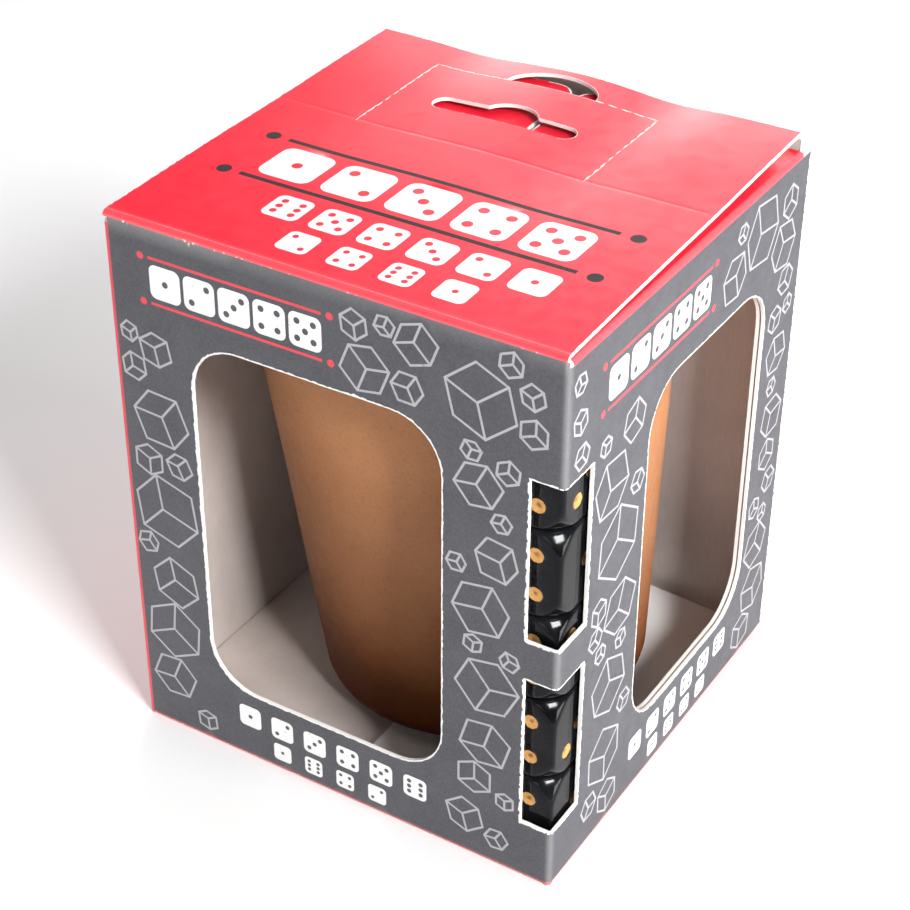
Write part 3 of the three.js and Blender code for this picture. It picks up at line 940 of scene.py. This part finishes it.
def build_base():
    low, high = node_box("bottom_panel")
    outline = rectangle(low[0], high[0], low[1], high[1])
    flat_board("bottom_panel_board", "bottom_panel", outline, -1, RED_BOARD)

    low, high = node_box("chute_floor_tab")
    cut = 2.0
    outline = [(low[0], low[1]), (high[0], low[1]), (high[0], high[1])]
    outline += [(low[0] + cut, high[1]), (low[0], high[1] - cut)]
    flat_board("chute_floor_board", "chute_floor_tab", outline, 1, PLAIN_BOARD)


def build_bottom_flaps():
    """Two flaps over the bottom panel; the right one's free edge stands up a little, and its inside is a
    lighter copy of the bare board, as painted light.
    """
    low, high = node_box("left_bottom_dust_flap")
    outline = dust_flap_outline(low[0], high[0], 2.0, 0.12, high[1])
    flat_board("left_bottom_flap_board", "left_bottom_dust_flap", outline, -1, RED_BOARD)

    low, high = node_box("right_bottom_dust_flap")
    rise = high[2] - low[2] - BOARD

    def spring(u, v):
        return rise * np.clip((high[0] - u) / (high[0] - low[0]), 0, 1) ** 1.15

    outline = dust_flap_outline(high[0], low[0], 2.0, 0.12, high[1])
    # Painted light: the flap's inside uses the lighter copy of the bare board, standing in for the light its
    # tilt catches.
    flat_board("right_bottom_flap_board", "right_bottom_dust_flap", outline, -1, RED_PAINTED_LIGHT_BOARD, spring)


# ---------------------------------------------------------------- lid and top flaps

LID_START = HALF + FOLD_RADIUS
LID_END = LID_HIGH[1] - FOLD_RADIUS
LID_LEFT, LID_RIGHT = LID_LOW[0], LID_HIGH[0]
FOLD_RIGHT = WIDTH - 0.5
LID_RISE = LID_HIGH[2] - CARTON_TOP
CREASE_HALF = 0.5


def lid_height(x, y):
    """The lid's middle: rising to the back, bent a little at the crease, its back edge wavy."""
    share = y / LID_END
    groove = 0.02 * np.exp(-(((y - TAB_FRONT) / 0.35) ** 2))
    crease = -0.18 * np.exp(-(((y - TAB_FRONT) / 14.0) ** 2)) - groove
    wave = 0.6 * np.exp(-(((x - 40) / 10.0) ** 2))
    wave = wave - 0.5 * np.exp(-(((x - 20) / 8.0) ** 2)) - 0.55 * np.exp(-(((x - 58) / 7.0) ** 2))
    drop = share**2 * (0.62 - wave)
    return CARTON_TOP - HALF + LID_RISE * share - drop + crease * np.clip(share * 4, 0, 1)


def on_lid(x, y):
    """Places points of the lid and tab: their middle, the slope's normal and how much of a fold they are."""
    step = 0.05
    slope_x = (lid_height(x + step, y) - lid_height(x - step, y)) / (2 * step)
    slope_y = (lid_height(x, y + step) - lid_height(x, y - step)) / (2 * step)
    normal = np.column_stack([-slope_x, -slope_y, np.ones(len(x))])
    normal /= np.linalg.norm(normal, axis=1, keepdims=True)
    middle = np.column_stack([x, y, lid_height(x, y)])
    fold = 0.5 * np.exp(-(((y - LID_START) / 0.4) ** 2)) + 0.1 * np.exp(-(((y - TAB_FRONT) / 0.3) ** 2))
    return middle, normal, fold


DASH, BRIDGE = 1.7, 0.8
PERFORATION = 0.15


def is_bridge(along):
    """Whether the perforation is uncut at this distance along it."""
    return np.mod(along, DASH + BRIDGE) > DASH


def perforated_side(start, end, outward):
    """From start to end along a perforated side of the tab, stepping out to the lid at each bridge."""
    start, end = np.array(start, float), np.array(end, float)
    length = np.linalg.norm(end - start)
    along = (end - start) / length
    points, station = [start], DASH
    while station + BRIDGE < length - 0.5:
        reach = np.array(outward) * (PERFORATION - 0.02)
        inner, outer = start + along * station, start + along * (station + BRIDGE)
        points += [inner, inner + reach, outer + reach, outer]
        station += DASH + BRIDGE
    return points


def tab_outline():
    """Round the tab from the crease's right end: right side, back edge, left side."""
    front = TAB_FRONT + CREASE_HALF
    thumb_right, thumb_left = THUMB_CENTRE + THUMB_HALF, THUMB_CENTRE - THUMB_HALF
    points = perforated_side((TAB_RIGHT, front), (TAB_RIGHT, TAB_BACK), (1, 0))
    points += perforated_side((TAB_RIGHT, TAB_BACK), (thumb_right, TAB_BACK), (0, 1))
    points += [np.array((thumb_right, TAB_BACK))]
    points += perforated_side((thumb_left, TAB_BACK), (TAB_LEFT, TAB_BACK), (0, 1))
    points += perforated_side((TAB_LEFT, TAB_BACK), (TAB_LEFT, front), (-1, 0))
    return points + [np.array((TAB_LEFT, front))]


def slot_outline():
    """The long hanging slot with round ends and a hump in its back edge."""
    r = (SLOT_HIGH - SLOT_LOW) / 2
    middle = SLOT_LOW + r
    points = []
    half_turn = np.linspace(0, math.pi, 13)
    for angle in half_turn - math.pi / 2:
        points.append((SLOT_RIGHT - r + r * math.cos(angle), middle + r * math.sin(angle)))
    for angle in np.linspace(0, math.pi, 17):
        reach = HUMP_HALF * (1 + 0.12 * (1 - math.sin(angle)) ** 3)
        points.append((HUMP_CENTRE + reach * math.cos(angle), SLOT_HIGH + HUMP_DEPTH * math.sin(angle)))
    for angle in half_turn + math.pi / 2:
        points.append((SLOT_LEFT + r + r * math.cos(angle), middle + r * math.sin(angle)))
    return points


def tab_opening():
    """The lid's opening round the tab, with the half-moon for a thumb behind it."""
    left, right, back = TAB_LEFT - PERFORATION, TAB_RIGHT + PERFORATION, TAB_BACK + PERFORATION
    points = [(left, TAB_FRONT - CREASE_HALF), (right, TAB_FRONT - CREASE_HALF), (right, back)]
    for angle in np.linspace(0, math.pi, 25):
        points.append((THUMB_CENTRE + THUMB_HALF * math.cos(angle), back + THUMB_DEPTH * math.sin(angle)))
    return points + [(left, back)]


def lid_fixed(x, y):
    """Marks the lid's folds, and the tab's crease and uncut bridges, where no white edge shows."""
    fixed = (y < LID_START + 0.02) | (y > LID_END - 0.02)
    across = (x > TAB_LEFT - 0.5) & (x < TAB_RIGHT + 0.5)
    crease = across & (np.abs(y - TAB_FRONT) < CREASE_HALF + 0.1)
    beside = (np.abs(x - TAB_LEFT) < 0.4) | (np.abs(x - TAB_RIGHT) < 0.4)
    side = beside & (y > TAB_FRONT) & (y < TAB_BACK) & is_bridge(y - TAB_FRONT - CREASE_HALF)
    behind = across & (np.abs(y - TAB_BACK) < 0.4) & (np.abs(x - THUMB_CENTRE) > THUMB_HALF)
    return fixed | crease | side | (behind & is_bridge(TAB_RIGHT - x))


def bend(piece):
    """A fold's strip of board: its placement is baked into its mesh, and it rides on neither body."""
    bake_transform(piece)


def everywhere(u, v):
    return np.ones(len(u), bool)


def build_lid():
    outline = [(LID_LEFT, LID_START), (FOLD_RIGHT, LID_START)]
    outline += [(LID_RIGHT + 0.8, LID_END), (LID_LEFT, LID_END)]
    near_crease = TAB_FRONT + np.arange(-1.0, 1.01, 0.2)
    near_fold = [1.0, 1.2, 1.5, 1.9]
    vs = np.sort(np.concatenate([grid_lines(LID_START, LID_END, 2.2), near_crease, near_fold]))
    us = grid_lines(LID_LEFT, FOLD_RIGHT, 2.2)
    loops, band = [outline, tab_opening()], 0.22
    lid = sheet("lid_board", loops, on_lid, us, vs, RED_BOARD, lid_art(), lid_fixed, 0.04, band)
    settle(lid, "lid_panel", "lid")

    loops = [tab_outline(), slot_outline()]
    tab = sheet("hang_tab_board", loops, on_lid, us, vs, RED_BOARD, (), lid_fixed, 0.02, band)
    settle(tab, "hang_tab", "hanging_tab")

    front, back = TAB_FRONT - CREASE_HALF, TAB_FRONT + CREASE_HALF
    loops = [rectangle(TAB_LEFT, TAB_RIGHT, front, back)]
    vs = TAB_FRONT + np.arange(-0.4, 0.41, 0.1)
    crease = sheet("tab_crease", loops, on_lid, us, vs, RED_BOARD, (), everywhere, 0.0)
    bend(crease)


def fold_strip(name, first, last, place):
    """A quarter round of board from first to last along its fold."""
    loops = [rectangle(first, last, 0.0, FOLD_LENGTH)]
    turns = np.linspace(0.05, FOLD_LENGTH - 0.05, 9)
    return sheet(name, loops, place, grid_lines(first, last, 1.2), turns, RED_BOARD, (), everywhere, 0.0)


def build_lid_fold():
    def place(u, v):
        angle = v / FOLD_RADIUS
        away, rise = FOLD_RADIUS * np.cos(angle), FOLD_RADIUS * np.sin(angle)
        middle = np.column_stack([u, LID_START - away, FRONT_TOP + rise])
        normal = np.column_stack([np.zeros(len(u)), -np.cos(angle), np.sin(angle)])
        worn = np.where(u < WORN_LENGTH, 1.0, 0.55) * np.exp(-((v / 0.25) ** 2))
        return middle, normal, np.clip(0.35 + worn, 0, 1)

    piece = fold_strip("lid_fold", LID_LEFT, FOLD_RIGHT, place)
    bend(piece)


def build_top_flap(side, fold_x, sign):
    """A dust flap that springs up towards the lid, and the fold it turns on."""
    def turned(u, v):
        angle = v / FOLD_RADIUS
        away, rise = FOLD_RADIUS * np.cos(angle), FOLD_RADIUS * np.sin(angle)
        middle = np.column_stack([fold_x + sign * away, u, WALL_TOP + rise])
        normal = np.column_stack([sign * np.cos(angle), np.zeros(len(u)), np.sin(angle)])
        return middle, normal, 0.35 + 0.3 * np.sin(2 * angle)

    low, high = node_box(f"{side}_top_dust_flap")
    piece = fold_strip(f"{side}_flap_fold", 1.0, high[1], turned)
    bend(piece)

    free = low[0] if sign > 0 else high[0]

    def spring(u, v):
        out = np.clip(np.abs(u - fold_x) / abs(free - fold_x), 0, 1)
        return 1.3 * out * (1.6 - 0.6 * out) * np.clip(v / DEPTH, 0, 1) ** 1.3

    shoulder, slope = 2.0, 0.62
    outline = dust_flap_outline(fold_x, free, shoulder + slope * (HALF + FOLD_RADIUS), slope, high[1])
    us, vs = grid_lines(min(fold_x, free), max(fold_x, free)), grid_lines(shoulder, high[1])
    flap = sheet(f"{side}_top_flap_board", [outline], level_sheet(low[2], 1, spring), us, vs, RED_BOARD, (),
                 lambda u, v: np.abs(u - fold_x) < 0.05)
    settle(flap, f"{side}_top_dust_flap", f"{side}_dust_flap")


def build_tuck_flap():
    """The tuck flap turns down from the lid's wavy back edge and straightens towards its own edge."""
    low, high = node_box("lid_tuck_flap")
    slope = math.radians(6.8)
    sweep = math.pi / 2 + slope
    arc = FOLD_RADIUS * sweep
    length = 9.2

    def place(u, v):
        angle = np.clip(v / FOLD_RADIUS, 0, sweep)
        y = LID_END + FOLD_RADIUS * np.sin(angle)
        z = lid_height(u, np.full(len(u), LID_END)) - FOLD_RADIUS * (1 - np.cos(angle))
        drop = (z - low[2] - HALF) * np.clip((v - arc) / length, 0, 1)
        middle = np.column_stack([u, y - drop * math.tan(slope), z - drop])
        normal = np.column_stack([np.zeros(len(u)), np.sin(angle), np.cos(angle)])
        return middle, normal, np.exp(-(((v - arc / 2) / 0.5) ** 2))

    split, end, cut = arc + 0.15, arc + length, 3
    us = grid_lines(low[0], high[0], 1.5)
    loops, vs = [rectangle(low[0], high[0], 0.0, split)], np.linspace(0.05, split - 0.05, 10)
    fold = sheet("tuck_fold", loops, place, us, vs, RED_BOARD, (), everywhere, 0.0)
    bend(fold)

    outline = [(low[0], split), (high[0], split), (high[0], end - cut), (high[0] - cut, end)]
    outline += [(low[0] + cut, end), (low[0], end - cut)]
    flap = sheet("lid_tuck_flap_board", [outline], place, us, grid_lines(split, end, 1.2), RED_BOARD, (),
                 lambda u, v: v < split + 0.05)
    settle(flap, "lid_tuck_flap", "tuck_flap")


# ---------------------------------------------------------------- cup

def radius_at(height, inset=0.0):
    return CUP_RADIUS + CUP_TAPER * height - inset


SEAM_ANGLE = math.radians(140)


def from_seam(angle):
    return (angle - SEAM_ANGLE + math.pi) % (2 * math.pi) - math.pi


def leather_sway(angle, height):
    """Hand-made unevenness, and the butt seam's groove up the hidden side."""
    uneven = 0.1 * noise.noise(Vector((math.cos(angle) * 1.4, math.sin(angle) * 1.4, height / 30)))
    away = from_seam(angle) * CUP_RADIUS
    groove = -0.35 * math.exp(-((away / 0.45) ** 2))
    proud = 0.12 * math.exp(-(((abs(away) - 1.3) / 0.9) ** 2))
    return uneven + groove + proud


FOOT_ROUND = 5.0
FOOT = radius_at(FOOT_ROUND) - FOOT_ROUND
TURNED_UNDER = CUP_RADIUS - 9.0
CORE_INSET = LEATHER + GAP
LINING_INSET = LEATHER + CORE + 2 * GAP
INSIDE_INSET = LINING_INSET + FELT
FELT_FOOT, FELT_TOP = FOOT_ROUND + GAP, CUP_HEIGHT - 4.0
BINDING_OUTSIDE = CUP_HEIGHT - 5.0
RIM_STITCHES, SEAM_STITCHES, BASE_STITCHES = 64, 22, 46


def rounding(inset, steps=8):
    """The quarter round at the foot of the outer leather."""
    radius = FOOT_ROUND - inset
    turns = [-math.pi / 2 * (1 - k / steps) for k in range(steps + 1)]
    return [(FOOT + radius * math.cos(a), FOOT_ROUND + radius * math.sin(a)) for a in turns]


def wall_point(height, inset=0.0):
    return radius_at(height, inset), height


def build_cup_leather():
    """The outer wall, turned under at the foot, and the disc let into its base."""
    profile = [(TURNED_UNDER, 0.25), (TURNED_UNDER + 0.3, 0.0)] + rounding(0.0)
    profile += [wall_point(h) for h in np.linspace(7.0, BINDING_OUTSIDE - 0.4, 34)]
    profile += [wall_point(BINDING_OUTSIDE, 0.15), wall_point(BINDING_OUTSIDE, LEATHER)]
    profile += rounding(LEATHER)[::-1] + [(TURNED_UNDER, LEATHER)]
    settle(lathe("cup_outer_leather", profile, [LEATHER_TAN], leather_sway, 192), "cup_outer_wall", "cup")

    disc = TURNED_UNDER - GAP
    profile = [(0, 0), (disc - 0.4, 0), (disc, 0.3), (disc, LEATHER), (0, LEATHER)]
    settle(lathe("cup_base_leather", profile, [LEATHER_TAN]), "cup_base_disc", "cup")


def build_cup_former():
    inside_face = CORE_INSET + CORE
    top = CUP_HEIGHT - CORE_INSET
    profile = [(0, CORE_INSET), (FOOT, CORE_INSET), wall_point(FOOT_ROUND, CORE_INSET)]
    profile += [wall_point(top, CORE_INSET), wall_point(top, inside_face)]
    profile += [wall_point(FOOT_ROUND, inside_face), (FOOT - CORE, inside_face), (0, inside_face)]
    settle(lathe("cup_former_shell", profile, [FORMER]), "cup_core", "cup")


def build_cup_felt():
    """The lining and the pad on the floor."""
    def nap(angle, height):
        return 0.06 * noise.noise(Vector((math.cos(angle) * 30, math.sin(angle) * 30, height)))

    heights = np.linspace(FELT_FOOT, FELT_TOP, 30)
    profile = [wall_point(h, LINING_INSET) for h in heights]
    profile += [wall_point(h, INSIDE_INSET) for h in heights[::-1]]
    settle(lathe("cup_felt_lining", profile, [FELT_DARK], nap), "cup_lining", "cup")

    top = FELT_FOOT + FELT
    edge = radius_at(FELT_FOOT, INSIDE_INSET + GAP)
    profile = [(0, LINING_INSET), (FOOT - CORE - 2 * GAP, LINING_INSET), (edge, FELT_FOOT)]
    profile += [(edge, top - 0.3), (edge - 0.4, top), (0, top)]
    settle(lathe("cup_felt_floor", profile, [FELT_DARK]), "cup_floor_pad", "cup")


def build_cup_binding():
    """Leather folded over the rim, drawn in a little by each stitch."""
    def pucker(angle, height):
        return 0.05 * math.cos(angle * RIM_STITCHES) * min(1.0, (CUP_HEIGHT - height) / 3)

    outside_foot, inside_foot = BINDING_OUTSIDE + 0.12, FELT_TOP + GAP
    half_wall = INSIDE_INSET / 2
    middle = radius_at(CUP_HEIGHT) - half_wall
    crown = np.linspace(0, math.pi, 11)
    profile = [wall_point(outside_foot)]
    profile += [(middle + half_wall * math.cos(a), CUP_HEIGHT - 1.5 + 1.5 * math.sin(a)) for a in crown]
    profile += [wall_point(inside_foot, INSIDE_INSET), wall_point(inside_foot, LINING_INSET)]
    under_top = CUP_HEIGHT - LEATHER
    profile += [wall_point(under_top, LINING_INSET), wall_point(under_top, LEATHER)]
    profile += [wall_point(outside_foot, LEATHER)]
    settle(lathe("cup_rim_leather", profile, [LEATHER_TAN], pucker, 256), "cup_rim_binding", "cup")


def ring_stitches(count, radius, height):
    """The ends of evenly spaced stitches round the cup's axis."""
    step = 2 * math.pi / count
    return [(around(radius, (k + 0.16) * step, height), around(radius, (k + 0.84) * step, height))
            for k in range(count)]


def build_stitches():
    """Waxed thread: round the rim binding, up both sides of the seam, and round the turned-under base."""
    seam = []
    for side in (-1, 1):
        for k in range(SEAM_STITCHES):
            low = 8.0 + k * 3.1
            angle = SEAM_ANGLE + side * 2.1 / radius_at(low)
            seam.append([around(radius_at(height, -0.14), angle, height) for height in (low, low + 2.2)])
    rim_height = CUP_HEIGHT - 3.4
    rim = ring_stitches(RIM_STITCHES, radius_at(rim_height, -0.08), rim_height)
    base = ring_stitches(BASE_STITCHES, CUP_RADIUS - 6.6, 0.05)
    for name, ends in (("cup_rim_stitches", rim), ("cup_seam_stitches", seam), ("cup_base_stitches", base)):
        thread = stitches(name, ends, 0.3, THREAD)
        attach(thread, "cup")


# ---------------------------------------------------------------- dice

DIE_EDGE = 0.7
DIE_SPHERE = 1.475  # in half sides
PIP_STEP = 0.455  # in half sides
PIP_RADIUS = 1.3
PIP_DEPTH = 0.38
# Front, right and top values of each die from the bottom of the stack; opposite faces add up to seven
DICE = [(4, 1, 2), (5, 3, 1), (4, 2, 6), (5, 1, 3), (4, 5, 1)]
FACE_AXES = [  # outward, across and up directions of the front, right, back, left, top and bottom faces
    ((0, -1, 0), (1, 0, 0), (0, 0, 1)),
    ((1, 0, 0), (0, 1, 0), (0, 0, 1)),
    ((0, 1, 0), (-1, 0, 0), (0, 0, 1)),
    ((-1, 0, 0), (0, -1, 0), (0, 0, 1)),
    ((0, 0, 1), (1, 0, 0), (0, 1, 0)),
    ((0, 0, -1), (1, 0, 0), (0, -1, 0)),
]


def die_steps(half):
    """Positions across a face: even in the middle, and close together over its rounded edges."""
    even = np.linspace(-half + 0.9, half - 0.9, 37)
    close = np.array([half, half - 0.12, half - 0.28, half - 0.48, half - 0.7])
    return np.concatenate([-close, even, close[::-1]])


def build_die(number, values):
    """A cube with rounded edges, its corners cut by a sphere, and a dish for each pip."""
    low, high = node_box(f"die_{number}")
    centre, half = (low + high) / 2, (high[0] - low[0]) / 2
    sphere = DIE_SPHERE * half
    front, right, top = values
    numbers = [front, right, 7 - front, 7 - right, top, 7 - top]
    flips = [number % 2, (number + 1) % 2, 1, 0, number % 2, 1]
    steps = die_steps(half)
    size = len(steps)
    across, up = (grid.ravel() for grid in np.meshgrid(steps, steps))
    corner = (np.arange(size - 1)[:, None] * size + np.arange(size - 1)).ravel()
    points, faces, away = [], [], []
    for (outward, side, rise), value, flip in zip(FACE_AXES, numbers, flips):
        outward, side, rise = (np.array(v, float) for v in (outward, side, rise))
        cube = outward * half + across[:, None] * side + up[:, None] * rise
        core = np.clip(cube, -(half - DIE_EDGE), half - DIE_EDGE)
        offset = cube - core
        body = core + offset / np.maximum(np.linalg.norm(offset, axis=1, keepdims=True), 1e-9) * DIE_EDGE
        reach = np.linalg.norm(body, axis=1)
        softened = -np.log(np.exp(-(reach - sphere) * 6) + 1.0) / 6 + sphere
        body *= (softened / reach)[:, None]
        mirror = -1 if flip else 1
        spots = [(a * mirror * PIP_STEP * half, b * PIP_STEP * half) for a, b in PIPS[value]]
        distance = np.min([np.hypot(across - a, up - b) for a, b in spots], axis=0)
        dish = np.clip(1 - (distance / PIP_RADIUS) ** 2, 0, 1) ** 0.6
        first = len(points) * size * size
        points.append(body - outward * (PIP_DEPTH * dish)[:, None])
        away.append(distance)
        faces += [(a, a + 1, a + size + 1, a + size) for a in first + corner]
    points, away = np.vstack(points), np.concatenate(away)
    _, kept, merged = np.unique(np.round(points, 5), axis=0, return_index=True, return_inverse=True)
    merged = merged.ravel()
    faces = [tuple(dict.fromkeys(int(merged[i]) for i in face)) for face in faces]
    faces = [face for face in faces if len(face) > 2]
    die = make_object(f"die_{number}_shell", points[kept] + centre, faces, [DIE_BLACK],
                      attributes={"pip": away[kept]}, sharp=60)
    settle(die, f"die_{number}", f"die_{number}_body")


# ---------------------------------------------------------------- studio

def area_light(name, place, target, width, height, power):
    light = bpy.data.lights.new(name, "AREA")
    light.shape = "RECTANGLE"
    light.size, light.size_y = width, height
    light.energy = power
    lamp = bpy.data.objects.new(name, light)
    lamp.location = place
    lamp.rotation_euler = (Vector(target) - Vector(place)).to_track_quat("-Z", "Y").to_euler()
    bpy.context.scene.collection.objects.link(lamp)


def build_floor():
    mesh = bpy.data.meshes.new("floor")
    reach, level = 3.0, -0.0002
    mesh.from_pydata([(x, y, level) for x, y in rectangle(-reach, reach, -reach, reach)], [], [(0, 1, 2, 3)])
    mesh.materials.append(pale_surface("pale_floor"))
    floor = bpy.data.objects.new("floor", mesh)
    bpy.context.scene.collection.objects.link(floor)


def build_lights():
    world = bpy.data.worlds.new("studio")
    world.use_nodes = True
    background = world.node_tree.nodes["Background"]
    background.inputs["Color"].default_value = (1.0, 1.0, 1.0, 1.0)
    background.inputs["Strength"].default_value = 0.12
    bpy.context.scene.world = world

    middle = (0.0, 0.0, 0.05)
    area_light("key_right_front", (0.78, -0.42, 0.68), middle, 0.25, 0.22, 13.5)
    area_light("right_side", (0.95, -0.12, 0.24), middle, 0.5, 0.35, 8.0)
    area_light("lid_sheen", (-0.36, 1.15, 0.27), (0.0, 0.0, 0.1), 0.7, 0.24, 14.0)
    area_light("overhead", (-0.15, 0.15, 1.0), middle, 0.8, 0.8, 4.0)
    area_light("front_fill", (0.3, -1.0, 0.5), middle, 0.5, 0.4, 1.9)

    view = bpy.context.scene.view_settings
    view.view_transform = "Standard"
    view.look = "None"
    view.exposure = 0.0
    view.gamma = 1.0


def build_camera():
    """From above the front right corner, a little rolled."""
    azimuth, elevation, roll = math.radians(31.5), math.radians(33.86), math.radians(0.36)
    camera = bpy.data.objects.new("camera", bpy.data.cameras.new("camera"))
    camera.data.lens = 83.83
    camera.data.sensor_width = 36.0
    camera.data.clip_start, camera.data.clip_end = 0.01, 20.0
    turn = Matrix.Rotation(azimuth, 4, "Z") @ Matrix.Rotation(math.pi / 2 - elevation, 4, "X")
    place = Matrix.Translation(to_frame((197.2, -218.0, 249.2)))
    camera.matrix_world = place @ turn @ Matrix.Rotation(roll, 4, "Z")
    bpy.context.scene.collection.objects.link(camera)
    bpy.context.scene.camera = camera


build_camera()
build_floor()
build_lights()
build_walls()
build_base()
build_bottom_flaps()
build_lid()
build_lid_fold()
build_top_flap("left", HALF + FOLD_RADIUS, -1)
build_top_flap("right", WIDTH - HALF - FOLD_RADIUS, 1)
build_tuck_flap()
build_cup_leather()
build_cup_former()
build_cup_felt()
build_cup_binding()
build_stitches()
for die_number, die_values in enumerate(DICE, start=1):
    build_die(die_number, die_values)
